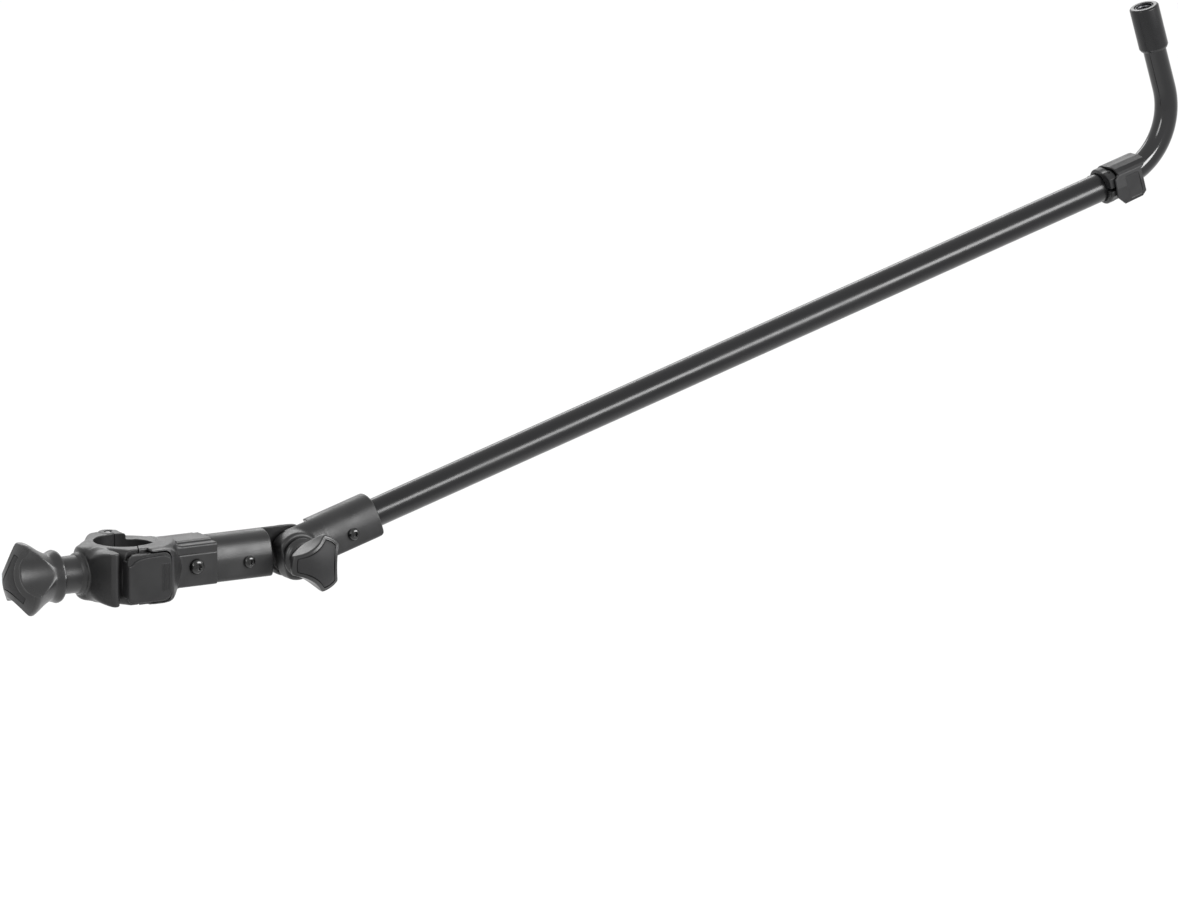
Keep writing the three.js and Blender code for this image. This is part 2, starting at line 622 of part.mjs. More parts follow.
function tubeCollar() {
  const block = prism('x', aroundTube([
    [-14, 6.8], [-14, -4.2], [-8, -8.6], [0, -10.2], [0, 9.8], [-8, 10.4], [-11.6, 9],
  ]), COLLAR_START, COLLAR_END, 0.4);
  const lip = rod('x', 11.2, COLLAR_START, LIP_END, 0, TUBE_N, 0.7, 44);
  const sleeve = rod('x', COLLAR_R, COLLAR_START + 1, COLLAR_END, 0, TUBE_N, 0.3, 44);
  const blockRoom = cut(
    prism('x', aroundTube([[-20, 20], [-20, -20], [20, -20], [20, 20]]), LIP_END, COLLAR_END + 1),
    rod('x', COLLAR_R, LIP_END - 1, COLLAR_END + 2, 0, TUBE_N, 0, 44),
    box(LIP_END - 1, COLLAR_END + 2, -14, -2, TUBE_N - 11, TUBE_N + 6.6),
  );
  const knuckle = union(
    leverRod(LEVER_BARREL_R, COLLAR_START + 0.8, BARREL_START - GAP, 0.3),
    box(COLLAR_START + 0.8, BARREL_START - GAP, 9, LEVER_PIN_Y, TUBE_N - 0.4, TUBE_N + 4.4),
  );
  return cut(
    union(cut(union(block, lip, sleeve), blockRoom), knuckle),
    rod('x', OUTER_R + 0.25, COLLAR_START - 1, OUTER_END + GAP, 0, TUBE_N, 0, 48),
    rod('x', INNER_R + 0.5, COLLAR_START, COLLAR_END + 1, 0, TUBE_N, 0, 48),
    leverRod(LEVER_PIN_R + GAP, COLLAR_START - 1, COLLAR_END + 1),
    box(COLLAR_START - 1, COLLAR_END + 1, -15, -6, TUBE_N - 1, TUBE_N + 1),
  );
}

const leverPin = () => leverRod(LEVER_PIN_R, COLLAR_START + 0.6, TAB_END - 1.6, 0.2);

// The flip lever: a curved shell hinged behind the collar that comes over the
// top and down the front, and reaches past the collar as a finger tab.
function flipLever() {
  const start = COLLAR_START + 1.4;
  const end = TAB_END;
  const arc = (r, from, to, steps) => Array.from({ length: steps + 1 }, (_, i) => {
    const angle = THREE.MathUtils.degToRad(mix(from, to, i / steps));
    return [r * Math.cos(angle), r * Math.sin(angle)];
  });
  const shell = prism('x', aroundTube([
    ...arc(11.8, 16, 96, 8), [-6.5, 12.3], [-12.4, 11.2], [-15.8, 7.8], [-16.4, 0], [-16.2, -8],
    [-15.2, -11.2], [-14.3, -11.2], [-14.5, -6], [-14.5, 6.9], [-11.8, 9.4], [-8, 10.9], [-4, 10.9],
    ...arc(10.6, 92, 16, 8),
  ]), start, end, 0.3);
  const barrel = union(
    leverRod(LEVER_BARREL_R, BARREL_START, end - 2.6, 0.3),
    box(BARREL_START, end - 2.6, 10.7, LEVER_PIN_Y, TUBE_N + 1, TUBE_N + 4.2),
  );
  const frontOutline = prism('y', aroundTube([
    [start + 0.4, -5], [start + 1.6, 6], [start + 4.6, 8.2], [start + 4.6, 20], [end + 2, 20],
    [end + 2, 11], [end - 5, 6.4], [end - 5.2, -8], [end - 8, -10.6], [start + 5, -11],
  ]), -30, -8);
  const lipRoom = box(start - 2, LIP_END + GAP, -8, 30, TUBE_N - 30, TUBE_N + 30);
  const knuckleRoom = box(start - 2, BARREL_START, 7.5, 30, TUBE_N - 30, TUBE_N + 30);
  const panel = prism('y', roundedRect(start + 8, end - 8, TUBE_N - 8, TUBE_N + 5, 1.6), -20, -16);
  const front = shell.intersect(frontOutline);
  const roof = cut(shell.intersect(box(start - 2, end + 2, -8.01, 40, -40, 60)), lipRoom, knuckleRoom);
  return cut(union(front, roof, barrel), panel, leverRod(LEVER_PIN_R + GAP, start - 1, end + 1));
}

// ---------------------------------------------------- inner tube and its end
class Elbow extends THREE.Curve {
  getPoint(t) {
    const angle = (t * Math.PI) / 2;
    const along = BEND_START + BEND_R * Math.sin(angle);
    return new THREE.Vector3(along, 0, TUBE_N + BEND_R * (1 - Math.cos(angle)));
  }
}

const END_X = BEND_START + BEND_R;

const elbowSolid = (r) => solid(new THREE.ExtrudeGeometry(disc(r), {
  steps: 14, curveSegments: 14, bevelEnabled: false, extrudePath: new Elbow(),
}));

function innerTube() {
  const overlap = 0.4;
  const leg = (r, x0, x1) => rod('x', r, x0, x1, 0, TUBE_N, 0, 28);
  const rise = (r, z0, z1) => rod('z', r, z0, z1, END_X, 0, 0, 28);
  const rIn = INNER_R - INNER_WALL;
  const top = TUBE_N + SLEEVE_TOP - 6;
  const outside = union(leg(INNER_R, INNER_START, BEND_START + overlap), elbowSolid(INNER_R),
    rise(INNER_R, TUBE_N + BEND_R - overlap, top));
  const inside = union(leg(rIn, INNER_START - 1, BEND_START + overlap), elbowSolid(rIn),
    rise(rIn, TUBE_N + BEND_R - overlap, top + 1));
  return outside.subtract(inside);
}

// A plug with a wide collar that guides the inner tube in the outer one.
function innerGuide() {
  const rIn = INNER_R - INNER_WALL;
  return cut(
    union(rod('x', OUTER_R - OUTER_WALL - 0.25, INNER_START - 9, INNER_START - GAP, 0, TUBE_N, 0.4, 40),
      rod('x', rIn - 0.25, INNER_START - 1, INNER_START + 14, 0, TUBE_N, 0, 36)),
    rod('x', 3, INNER_START - 10, INNER_START + 15, 0, TUBE_N, 0, 24),
  );
}

function endSleeve() {
  const low = TUBE_N + SLEEVE_LOW;
  const top = TUBE_N + SLEEVE_TOP;
  return cut(
    turned('z', [
      [0, low], [SLEEVE_R - 0.8, low], [SLEEVE_R, low + 1.6], [SLEEVE_R, top - 0.5],
      [SLEEVE_R - 0.5, top], [0, top],
    ], END_X, 0, 48),
    rod('z', INNER_R + GAP, low - 1, top - 6 + GAP, END_X, 0, 0, 36),
    rod('z', 5.9, top - 10, top + 1, END_X, 0, 0, 36),
  );
}

function sleeveInsert() {
  const top = TUBE_N + SLEEVE_TOP;
  return cut(rod('z', 5.9 - GAP, top - 17, top - 0.3, END_X, 0, 0.3, 36),
    rod('z', 4.75, top - 18, top + 1, END_X, 0, 0, 32));
}

// ------------------------------------------------------------------- assembly
const boomArm = new THREE.Group();

const clamp = new THREE.Group();
clamp.add(
  part('clamp_body', clampBody(), CASTING),
  part('hinge_pin', hingePin(), STEEL),
  part('latch_pin', latchPin(), STEEL),
  part('swing_jaw', swingJaw(), CASTING),
  part('neck_insert', neckInsert(), BRASS),
  part('latch_lever', latchLever(), MOULDED),
  part('latch_spring', latchSpring(), STEEL),
  part('pad_shoe', padShoe(), MOULDED),
  part('pad_face', padFace(), RUBBER),
  part('clamp_screw', clampScrew(), STEEL),
  part('block_screw', blockScrew(), STEEL_BLACK),
  part('block_nut', blockNut(), STEEL),
  part('spigot', spigot(), STEEL),
);
boomArm.add(clamp);

const clampKnob = new THREE.Group();
clampKnob.position.x = -45.8;
clampKnob.rotation.z = Math.PI / 2;
clampKnob.add(
  part('clamp_knob', clampKnobBody(), MOULDED),
  part('clamp_knob_panel', knobPanel(CLAMP_KNOB), MOULDED),
);
boomArm.add(clampKnob);

const joint = new THREE.Group();
joint.add(
  part('tilt_stub', stub(), CASTING),
  part('stub_screw', stubScrew(), STEEL_BLACK),
  part('tilt_bolt', tiltBolt(), STEEL),
  part('friction_washer', washer(12, -EAR_INNER + GAP, EAR_INNER - GAP), RUBBER),
  part('thrust_washer', washer(9, THRUST_FRONT, THRUST_REAR), STEEL),
);
boomArm.add(joint);

const tiltKnob = new THREE.Group();
tiltKnob.position.set(PIVOT_X, KNOB_REAR, PIVOT_Z);
tiltKnob.rotation.x = Math.PI;
tiltKnob.add(
  part('tilt_knob', tiltKnobBody(), MOULDED),
  part('tilt_knob_insert', tiltKnobInsert(), BRASS),
  part('tilt_knob_panel', knobPanel(TILT_KNOB), MOULDED),
);
boomArm.add(tiltKnob);

const arm = new THREE.Group();
arm.position.set(PIVOT_X, 0, PIVOT_Z);
arm.rotation.y = -THREE.MathUtils.degToRad(TILT);
arm.add(
  part('arm_socket', armSocket(), CASTING),
  part('socket_screw', socketScrew(), STEEL_BLACK),
  part('outer_tube', outerTube(), TUBE_BLACK),
  part('tube_collar', tubeCollar(), MOULDED),
  part('lever_pin', leverPin(), STEEL),
  part('flip_lever', flipLever(), MOULDED),
  part('inner_guide', innerGuide(), MOULDED),
  part('inner_tube', innerTube(), TUBE_BLACK),
  part('end_sleeve', endSleeve(), STEEL_BLACK),
  part('sleeve_insert', sleeveInsert(), STEEL),
);
boomArm.add(arm);

export default boomArm;
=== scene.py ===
"""The looks of a clamp-on telescoping boom arm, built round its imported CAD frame.

Lengths inside the builders are millimetres; add() turns them into metres. The
ring clamp is built in the frame of the row, and the arm in its own frame, with
x along the tube from the tilt axis and z across it.
"""

import itertools
import json
import math

import bpy
import numpy as np
from mathutils import Matrix, Vector

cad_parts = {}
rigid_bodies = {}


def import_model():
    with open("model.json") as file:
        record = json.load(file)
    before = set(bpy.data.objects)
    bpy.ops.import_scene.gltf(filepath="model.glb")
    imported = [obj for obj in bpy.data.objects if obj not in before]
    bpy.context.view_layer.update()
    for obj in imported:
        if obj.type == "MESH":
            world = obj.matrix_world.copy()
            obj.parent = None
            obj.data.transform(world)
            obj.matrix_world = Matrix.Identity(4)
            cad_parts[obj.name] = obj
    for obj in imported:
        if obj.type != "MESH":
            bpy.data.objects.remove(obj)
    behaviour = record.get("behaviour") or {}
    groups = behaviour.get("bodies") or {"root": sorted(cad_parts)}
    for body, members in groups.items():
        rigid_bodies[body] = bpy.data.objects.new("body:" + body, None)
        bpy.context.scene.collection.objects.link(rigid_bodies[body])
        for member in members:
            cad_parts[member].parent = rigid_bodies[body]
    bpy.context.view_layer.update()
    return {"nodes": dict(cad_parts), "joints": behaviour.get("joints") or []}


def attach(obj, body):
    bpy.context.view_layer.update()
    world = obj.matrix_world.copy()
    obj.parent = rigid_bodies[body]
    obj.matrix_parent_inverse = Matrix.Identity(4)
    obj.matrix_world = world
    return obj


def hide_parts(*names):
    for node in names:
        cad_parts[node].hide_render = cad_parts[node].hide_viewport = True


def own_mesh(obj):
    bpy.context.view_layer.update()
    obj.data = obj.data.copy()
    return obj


for leftover in list(bpy.data.objects):
    bpy.data.objects.remove(leftover)
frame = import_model()
JOINTS = {joint["name"]: joint for joint in frame["joints"]}
MM = 0.001
GAP = 0.3

# ---------------------------------------------------------------- dimensions
# ring clamp, socket block and neck
BORE_R = 18.3
RING_R = 30.0
RING_H = 16.7
HINGE = [v / MM for v in JOINTS["jaw_hinge"]["pos_m"]]
BARREL_R = 6.0
KNUCKLE_H = 7.7
PIN_R = 2.2
BLOCK_END = 53.6
BLOCK_W = 16.0
BLOCK_H = 12.6
SPIGOT_R = 8.0
NECK_R = 11.0
NECK_END = -48.6
SCREW_R = 3.8
PAD_IN = 17.9
PAD_OUT = 21.6

# latch
LATCH = [v / MM for v in JOINTS["latch_press"]["pos_m"]]
LATCH_PIN_R = 1.5
SPRING_X = 9.0
SPRING_R = 1.8
SPRING_TOP = -31.6
SPRING_SEAT = -25.2

# x and z of the button screws
BLOCK_SCREW = (39.5, -0.5)
STUB_SCREW = (76.0, -2.2)
SOCKET_SCREW = (37.5, -0.9)

# tilt joint and arm socket
PIVOT = [v / MM for v in JOINTS["arm_tilt"]["pos_m"]]
ARM_AXIS = JOINTS["arm_extend"]["axis"]
EAR_R = 14.5
EAR_FACE = 13.4
EAR_INNER = 1.2
STUB_END = 92.2
STUB_TOP = 14.0
BOLT_R = 3.8
TUBE_N = 0.7
SOCKET_END = 57.3
SOCKET_TOP = 14.7
SOCKET_LOW = -10.0
SOCKET_W = 13.6

# tubes, tube lock and end sleeve
OUTER_R = 8.7
OUTER_WALL = 1.2
OUTER_START = 25.0
OUTER_END = 603.3
INNER_R = 7.15
INNER_WALL = 1.1
INNER_START = 66.0
BEND_START = 604.4
BEND_R = 42.7
END_X = BEND_START + BEND_R
SLEEVE_R = 9.1
SLEEVE_LOW = 68.9
SLEEVE_TOP = 97.0
COLLAR_START = 587.3
COLLAR_END = 603.7
LEVER_PIN = (13.0, 2.7)

# where the knobs' bases stand
KNOB_X = -45.8
KNOB_Y = -14.3

ARM_TILT = math.atan2(ARM_AXIS[2], ARM_AXIS[0])
ARM = Matrix.Translation(Vector(PIVOT) * MM) @ Matrix.Rotation(-ARM_TILT, 4, "Y")
WORLD = Matrix.Identity(4)


# ---------------------------------------------------------------- distance fields
# A field takes points as a (3, n) array and gives their signed distance to a
# solid's surface, negative inside.
def soft_min(a, b, k):
    h = np.maximum(k - np.abs(a - b), 0) / k
    return np.minimum(a, b) - h * h * k / 4


def join(k, *fields):
    def field(p):
        value = fields[0](p)
        for other in fields[1:]:
            value = soft_min(value, other(p), k)
        return value
    return field


def clip(k, *fields):
    def field(p):
        value = -fields[0](p)
        for other in fields[1:]:
            value = soft_min(value, -other(p), k)
        return -value
    return field


def carve(k, body, *cuts):
    return clip(k, body, *[(lambda cut: lambda p: -cut(p))(cut) for cut in cuts])


def block(lo, hi, r=0.0):
    lo, hi = np.array(lo, float), np.array(hi, float)
    centre, half = ((lo + hi) / 2)[:, None], ((hi - lo) / 2 - r)[:, None]

    def field(p):
        q = np.abs(p - centre) - half
        return np.linalg.norm(np.maximum(q, 0), axis=0) + np.minimum(q.max(axis=0), 0) - r
    return field


def extrude(shape, axis, start, end, r=0.0):
    """A flat shape with depth along an axis, its end edges rounded by r."""
    mid, half = (start + end) / 2, (end - start) / 2
    u, v = [i for i in range(3) if i != axis]

    def field(p):
        across = shape(p[u], p[v]) + r
        along = np.abs(p[axis] - mid) - half + r
        outside = np.hypot(np.maximum(across, 0), np.maximum(along, 0))
        return np.minimum(np.maximum(across, along), 0) + outside - r
    return field


def circle(r, u0=0.0, v0=0.0):
    return lambda u, v: np.hypot(u - u0, v - v0) - r


def rect(u0, u1, v0, v1, r):
    def shape(u, v):
        a = np.abs(u - (u0 + u1) / 2) - (u1 - u0) / 2 + r
        b = np.abs(v - (v0 + v1) / 2) - (v1 - v0) / 2 + r
        return np.hypot(np.maximum(a, 0), np.maximum(b, 0)) + np.minimum(np.maximum(a, b), 0) - r
    return shape


def polygon(points):
    corners = np.array(points, float)

    def shape(u, v):
        nearest = np.full(u.shape, np.inf)
        sign = np.ones(u.shape)
        for (ax, ay), (bx, by) in zip(corners, np.roll(corners, -1, axis=0)):
            ex, ey = bx - ax, by - ay
            wx, wy = u - ax, v - ay
            t = np.clip((wx * ex + wy * ey) / max(ex * ex + ey * ey, 1e-12), 0, 1)
            nearest = np.minimum(nearest, (wx - ex * t) ** 2 + (wy - ey * t) ** 2)
            above, below, left = v >= ay, v < by, ex * wy > ey * wx
            sign = np.where((above & below & left) | ~(above | below | left), -sign, sign)
        return sign * np.sqrt(nearest)
    return shape


def arc_points(r, start, end, count, u0=0.0, v0=0.0):
    """Points on an arc between two angles in degrees."""
    angles = np.radians(np.linspace(start, end, count))
    return [(u0 + r * math.cos(a), v0 + r * math.sin(a)) for a in angles]


def hexagon(across_flats, u0=0.0, v0=0.0):
    def shape(u, v):
        a, b = np.abs(u - u0), np.abs(v - v0)
        slanted = a * math.cos(math.pi / 6) + b * math.sin(math.pi / 6)
        return np.maximum(slanted, b) - across_flats / 2
    return shape


def arch(half_width, bottom, top, corner):
    """A round top over leaning shoulders over flat sides and a flat base."""
    r = 14.0
    centre = top - r
    kink = centre + 1.6
    lean = math.radians(15)

    def shape(u, v):
        dome = np.hypot(u, np.maximum(v - centre, 0)) - r
        shoulder = (np.abs(u) - half_width) * math.cos(lean) + (v - kink) * math.sin(lean)
        sides = -soft_min(-(np.abs(u) - half_width), -(bottom - v), corner)
        return -soft_min(-sides, soft_min(-shoulder, -dome, 3.0), 0.5)
    return shape


def rod(axis, r, start, end, c1=0.0, c2=0.0, edge=0.0):
    return extrude(circle(r, c1, c2), axis, start, end, edge)


def turned(axis, profile, c1=0.0, c2=0.0):
    """A solid of revolution from a polygon of (radius, station)."""
    shape = polygon(profile + [(-r, s) for r, s in reversed(profile)])
    u, v = [i for i in range(3) if i != axis]
    return lambda p: shape(np.hypot(p[u] - c1, p[v] - c2), p[axis])


def half_space(normal, offset):
    n = np.array(normal, float)
    n = n / np.linalg.norm(n)
    return lambda p: n @ p - offset


# ------------------------------------------------------------------ surfacing
def gradient(field, p, eps):
    g = np.empty_like(p)
    for i in range(3):
        step = np.zeros((3, 1))
        step[i] = eps
        g[i] = field(p + step) - field(p - step)
    return g / (2 * eps)


def surface_net(field, lo, hi, step):
    """Meshes the zero level of a field with a surface net, then moves its
    points onto the exact surface. Gives points, quads and normals."""
    axes = [np.arange(a - 2.5 * step, b + 2.5 * step, step) for a, b in zip(lo, hi)]
    grid = np.meshgrid(*axes, indexing="ij")
    shape = grid[0].shape
    points = np.stack([g.ravel() for g in grid])
    chunk = 400000  # points at a time, to keep memory small
    starts = range(0, points.shape[1], chunk)
    values = np.concatenate([field(points[:, i:i + chunk]) for i in starts])
    values = values.reshape(shape)
    inside = values < 0
    cell = tuple(n - 1 for n in shape)

    def corner(a, d):
        return a[d[0]:d[0] + cell[0], d[1]:d[1] + cell[1], d[2]:d[2] + cell[2]]

    count = sum(corner(inside, d).astype(np.int8) for d in itertools.product((0, 1), repeat=3))
    active = (count > 0) & (count < 8)
    cells = np.argwhere(active)
    index = np.full(cell, -1)
    index[active] = np.arange(len(cells))
    total = np.zeros((len(cells), 3))
    hits = np.zeros(len(cells))
    for axis in range(3):
        for pair in itertools.product((0, 1), repeat=2):
            near = list(pair)
            near.insert(axis, 0)
            far = list(pair)
            far.insert(axis, 1)
            a, b = corner(values, near)[active], corner(values, far)[active]
            cross = (a < 0) != (b < 0)
            where = cells[cross] + near
            where = where.astype(float)
            where[:, axis] += a[cross] / (a[cross] - b[cross])
            total[cross] += where
            hits += cross
    origin = np.array([axis[0] for axis in axes])
    verts = (origin + step * total / hits[:, None]).T
    quads = []
    for axis in range(3):
        lower = [slice(1, -1)] * 3
        upper = [slice(1, -1)] * 3
        lower[axis], upper[axis] = slice(0, -1), slice(1, None)
        a, b = inside[tuple(lower)], inside[tuple(upper)]
        base = np.array([0 if i == axis else 1 for i in range(3)])
        u, v = np.eye(3, dtype=int)[(axis + 1) % 3], np.eye(3, dtype=int)[(axis + 2) % 3]
        for mask, order in ((a & ~b, (0, 1, 2, 3)), (b & ~a, (3, 2, 1, 0))):
            at = np.argwhere(mask) + base
            ring = [at - u - v, at - v, at, at - u]
            ids = [index[tuple(ring[i].T)] for i in order]
            quads.append(np.stack(ids, axis=1))
    for _ in range(3):
        g = gradient(field, verts, 0.05 * step)
        norm = np.maximum((g * g).sum(axis=0), 0.2)
        verts = verts - np.clip(field(verts), -step / 2, step / 2) * g / norm
    normals = gradient(field, verts, 0.3 * step)
    normals /= np.maximum(np.linalg.norm(normals, axis=0), 1e-9)
    return verts.T, np.concatenate(quads), normals.T


def add(name, points, faces, body, slot, material, place=WORLD, normals=None, sharp=None):
    mesh = bpy.data.meshes.new(name)
    mesh.from_pydata((np.asarray(points) * MM).tolist(), [], [list(map(int, f)) for f in faces])
    mesh.transform(place)
    mesh.update()
    mesh.shade_smooth()
    if normals is not None:
        turn = np.array(place.to_3x3())
        mesh.normals_split_custom_set_from_vertices((normals @ turn.T).tolist())
    elif sharp is not None:
        mesh.set_sharp_from_angle(angle=math.radians(sharp))
    mesh.materials.append(material)
    piece = bpy.data.objects.new(name, mesh)
    bpy.context.scene.collection.objects.link(piece)
    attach(piece, body)
    return piece


def solid(name, field, lo, hi, step, body, slot, material, place=WORLD):
    points, quads, normals = surface_net(field, lo, hi, step)
    return add(name, points, quads, body, slot, material, place, normals)


# --------------------------------------------------------- swept and turned skins
def grid_faces(rows, columns, closed_rows=False):
    faces = []
    for i in range(rows if closed_rows else rows - 1):
        for j in range(columns):
            a, b = i * columns + j, i * columns + (j + 1) % columns
            c, d = (i + 1) % rows * columns + (j + 1) % columns, (i + 1) % rows * columns + j
            faces.append((a, b, c, d))
    return faces


def fillet(profile, r, steps=3, closed=False):
    """Rounds the corners of a profile of (radius, station) points."""
    points = [np.array(p, float) for p in profile]
    out = []
    last = len(points)
    for i, p in enumerate(points):
        if not closed and i in (0, last - 1):
            out.append(tuple(p))
            continue
        before, after = points[i - 1] - p, points[(i + 1) % last] - p
        reach = min(r, 0.45 * np.linalg.norm(before), 0.45 * np.linalg.norm(after))
        a = p + before / np.linalg.norm(before) * reach
        b = p + after / np.linalg.norm(after) * reach
        for t in np.linspace(0, 1, steps + 1):
            out.append(tuple((1 - t) ** 2 * a + 2 * t * (1 - t) * p + t * t * b))
    return out


# first spoke, second spoke and axis
AXIS_FRAMES = {
    "-y": ((1, 0, 0), (0, 0, 1), (0, -1, 0)),
    "-x": ((0, 0, 1), (0, 1, 0), (-1, 0, 0)),
    "z": ((1, 0, 0), (0, 1, 0), (0, 0, 1)),
}


def revolve(axis, stations, centre, columns, closed):
    """Rings of (radius, height) pairs round an axis; stations(angle) gives one
    column. An open profile starts and ends on the axis and is capped there."""
    u, v, w = (np.array(d, float) for d in AXIS_FRAMES[axis])
    angles = np.arange(columns) * 2 * math.pi / columns
    profile = np.array([stations(a) for a in angles])
    rows = profile.shape[1]
    spokes = np.cos(angles)[:, None] * u + np.sin(angles)[:, None] * v
    points = (np.array(centre, float) + profile[:, :, :1] * spokes[:, None, :]
              + profile[:, :, 1:] * w)
    points = points.transpose(1, 0, 2).reshape(-1, 3)
    faces = grid_faces(rows, columns, closed)
    if not closed:
        faces.append(tuple(range(columns - 1, -1, -1)))
        faces.append(tuple(range((rows - 1) * columns, rows * columns)))
    return points, faces


def lathe(name, profile, centre, body, slot, material, place=WORLD, closed=False, columns=72):
    """A turned piece round a line along z, with its edges broken."""
    rounded = fillet(profile, 0.25, closed=closed)
    points, faces = revolve("z", lambda angle: rounded, centre, columns, closed)
    return add(name, points, faces, body, slot, material, place, sharp=40)


def nut_thread(crest_r, root_r, pitch, start, end, angle):
    """One column of an inner thread between two heights; its depth fades out
    at both ends."""
    steps_per_pitch = 8
    heights = np.arange(start, end + 1e-6, pitch / steps_per_pitch)
    phase = (heights / pitch - angle / (2 * math.pi)) % 1
    wave = 1 - np.abs(2 * phase - 1)
    fade = np.clip(np.minimum(heights - start, end - heights) / pitch, 0, 1)
    return list(zip(crest_r + (root_r - crest_r) * (1 - fade * wave), heights))


def sweep(path, tangents, profile_r, columns):
    """Rings of a round section along a path that runs nearly square to y."""
    angles = np.arange(columns) * 2 * math.pi / columns
    side = np.array([0.0, 1.0, 0.0])
    rings = []
    for centre, tangent, r in zip(path, tangents, profile_r):
        up = np.cross(tangent, side)
        rings.append(centre + r * (np.cos(angles)[:, None] * side + np.sin(angles)[:, None] * up))
    return np.concatenate(rings)


# ------------------------------------------------------------------- materials
def material(name, color, roughness, metallic=0.0, grain=2200.0, bump=0.05, spread=0.08, tint=0.12,
             stretch=(1, 1, 1), edge_wear_and_highlight=0.0, specular=0.5, mottle=60.0):
    """Plastic, paint or metal with a fine grain, an uneven tone and roughness,
    and edges lightened a little, partly as wear and partly as a painted highlight."""
    mat = bpy.data.materials.new(name)
    mat.use_nodes = True
    nodes, links = mat.node_tree.nodes, mat.node_tree.links
    shader = nodes["Principled BSDF"]
    shader.inputs["Metallic"].default_value = metallic
    shader.inputs["Specular IOR Level"].default_value = specular
    coords = nodes.new("ShaderNodeTexCoord")
    mapping = nodes.new("ShaderNodeMapping")
    mapping.inputs["Scale"].default_value = stretch
    links.new(coords.outputs["Object"], mapping.inputs["Vector"])

    def noise(scale, detail):
        node = nodes.new("ShaderNodeTexNoise")
        node.inputs["Scale"].default_value = scale
        node.inputs["Detail"].default_value = detail
        node.inputs["Roughness"].default_value = 0.55
        links.new(mapping.outputs["Vector"], node.inputs["Vector"])
        return node

    def spread_of(source, low, high):
        node = nodes.new("ShaderNodeMapRange")
        node.inputs["From Min"].default_value = 0.3
        node.inputs["From Max"].default_value = 0.7
        node.inputs["To Min"].default_value = low
        node.inputs["To Max"].default_value = high
        links.new(source, node.inputs["Value"])
        return node.outputs["Result"]

    fine, broad = noise(grain, 3), noise(mottle, 5)
    rough_mix = nodes.new("ShaderNodeMath")
    rough_mix.operation = "ADD"
    links.new(spread_of(broad.outputs["Fac"], roughness - spread, roughness + spread),
              rough_mix.inputs[0])
    links.new(spread_of(fine.outputs["Fac"], -spread / 2, spread / 2), rough_mix.inputs[1])
    links.new(rough_mix.outputs["Value"], shader.inputs["Roughness"])
    tone = nodes.new("ShaderNodeMixRGB")
    tone.blend_type = "MIX"
    tone.inputs["Color1"].default_value = [c * (1 - tint) for c in color] + [1]
    tone.inputs["Color2"].default_value = [c * (1 + tint) for c in color] + [1]
    links.new(spread_of(broad.outputs["Fac"], 0, 1), tone.inputs["Fac"])
    last = tone.outputs["Color"]
    # painted highlight: sharp edges, found by pointiness, are lightened, partly for wear and partly for
    # the light they catch
    if edge_wear_and_highlight:
        geometry = nodes.new("ShaderNodeNewGeometry")
        edge = nodes.new("ShaderNodeMapRange")
        edge.inputs["From Min"].default_value = 0.52
        edge.inputs["From Max"].default_value = 0.62
        edge.inputs["To Max"].default_value = edge_wear_and_highlight
        links.new(geometry.outputs["Pointiness"], edge.inputs["Value"])
        worn_and_highlit_edge = nodes.new("ShaderNodeMixRGB")
        worn_and_highlit_edge.inputs["Color2"].default_value = [min(1, c * 3 + 0.02) for c in color] + [1]
        links.new(edge.outputs["Result"], worn_and_highlit_edge.inputs["Fac"])
        links.new(last, worn_and_highlit_edge.inputs["Color1"])
        last = worn_and_highlit_edge.outputs["Color"]
    links.new(last, shader.inputs["Base Color"])
    if bump:
        height = nodes.new("ShaderNodeBump")
        height.inputs["Strength"].default_value = bump
        height.inputs["Distance"].default_value = 0.0002
        links.new(fine.outputs["Fac"], height.inputs["Height"])
        links.new(height.outputs["Normal"], shader.inputs["Normal"])
    return mat


CAST = material("cast_black", (0.009, 0.009, 0.0093), 0.38, grain=1500, bump=0.35, edge_wear_and_highlight=0.5,
                specular=0.35)
KNOB = material("moulded_black", (0.009, 0.009, 0.0093), 0.33, grain=1700, bump=0.25, edge_wear_and_highlight=0.35,
                specular=0.4)
PANEL = material("panel_black", (0.014, 0.014, 0.0145), 0.52, grain=2600, bump=0.5, spread=0.05,
                 specular=0.2)
LATCH_PLASTIC = material("latch_black", (0.010, 0.010, 0.0104), 0.48, grain=2600, bump=0.35, edge_wear_and_highlight=0.3,
                         specular=0.25)
LEVER_PLASTIC = material("lever_black", (0.009, 0.009, 0.0095), 0.42, grain=2200, bump=0.3, edge_wear_and_highlight=0.4,
                         specular=0.28)
SATIN = material("tube_satin", (0.004, 0.004, 0.0045), 0.26, grain=500, bump=0.05,
                 stretch=(0.06, 1, 1), spread=0.05, specular=0.3)
GLOSS = material("tube_gloss", (0.002, 0.002, 0.0025), 0.12, grain=300, bump=0.02, spread=0.03)
SLEEVE = material("sleeve_black", (0.004, 0.004, 0.0045), 0.3, grain=1200, bump=0.08, spread=0.05,
                  edge_wear_and_highlight=0.6, specular=0.3)
OXIDE = material("screw_oxide", (0.003, 0.003, 0.003), 0.15, grain=900, bump=0.06, spread=0.04,
                 specular=0.45)
ZINC = material("zinc_steel", (0.55, 0.55, 0.56), 0.32, metallic=1.0, grain=900, bump=0.05, spread=0.08)
DARK_STEEL = material("dark_steel", (0.09, 0.09, 0.095), 0.34, metallic=1.0, grain=900, bump=0.05)
BRASS = material("brass_turned", (0.62, 0.44, 0.18), 0.3, metallic=1.0, grain=700, bump=0.05)
RUBBER = material("pad_rubber", (0.018, 0.018, 0.018), 0.8, grain=1500, bump=0.5)

# ------------------------------------------------------------------ ring clamp
# the front split runs from the bore to the outside between these x, y points
SPLIT_IN = (-0.4, -17.0)
SPLIT_OUT = (-8.2, -35.0)


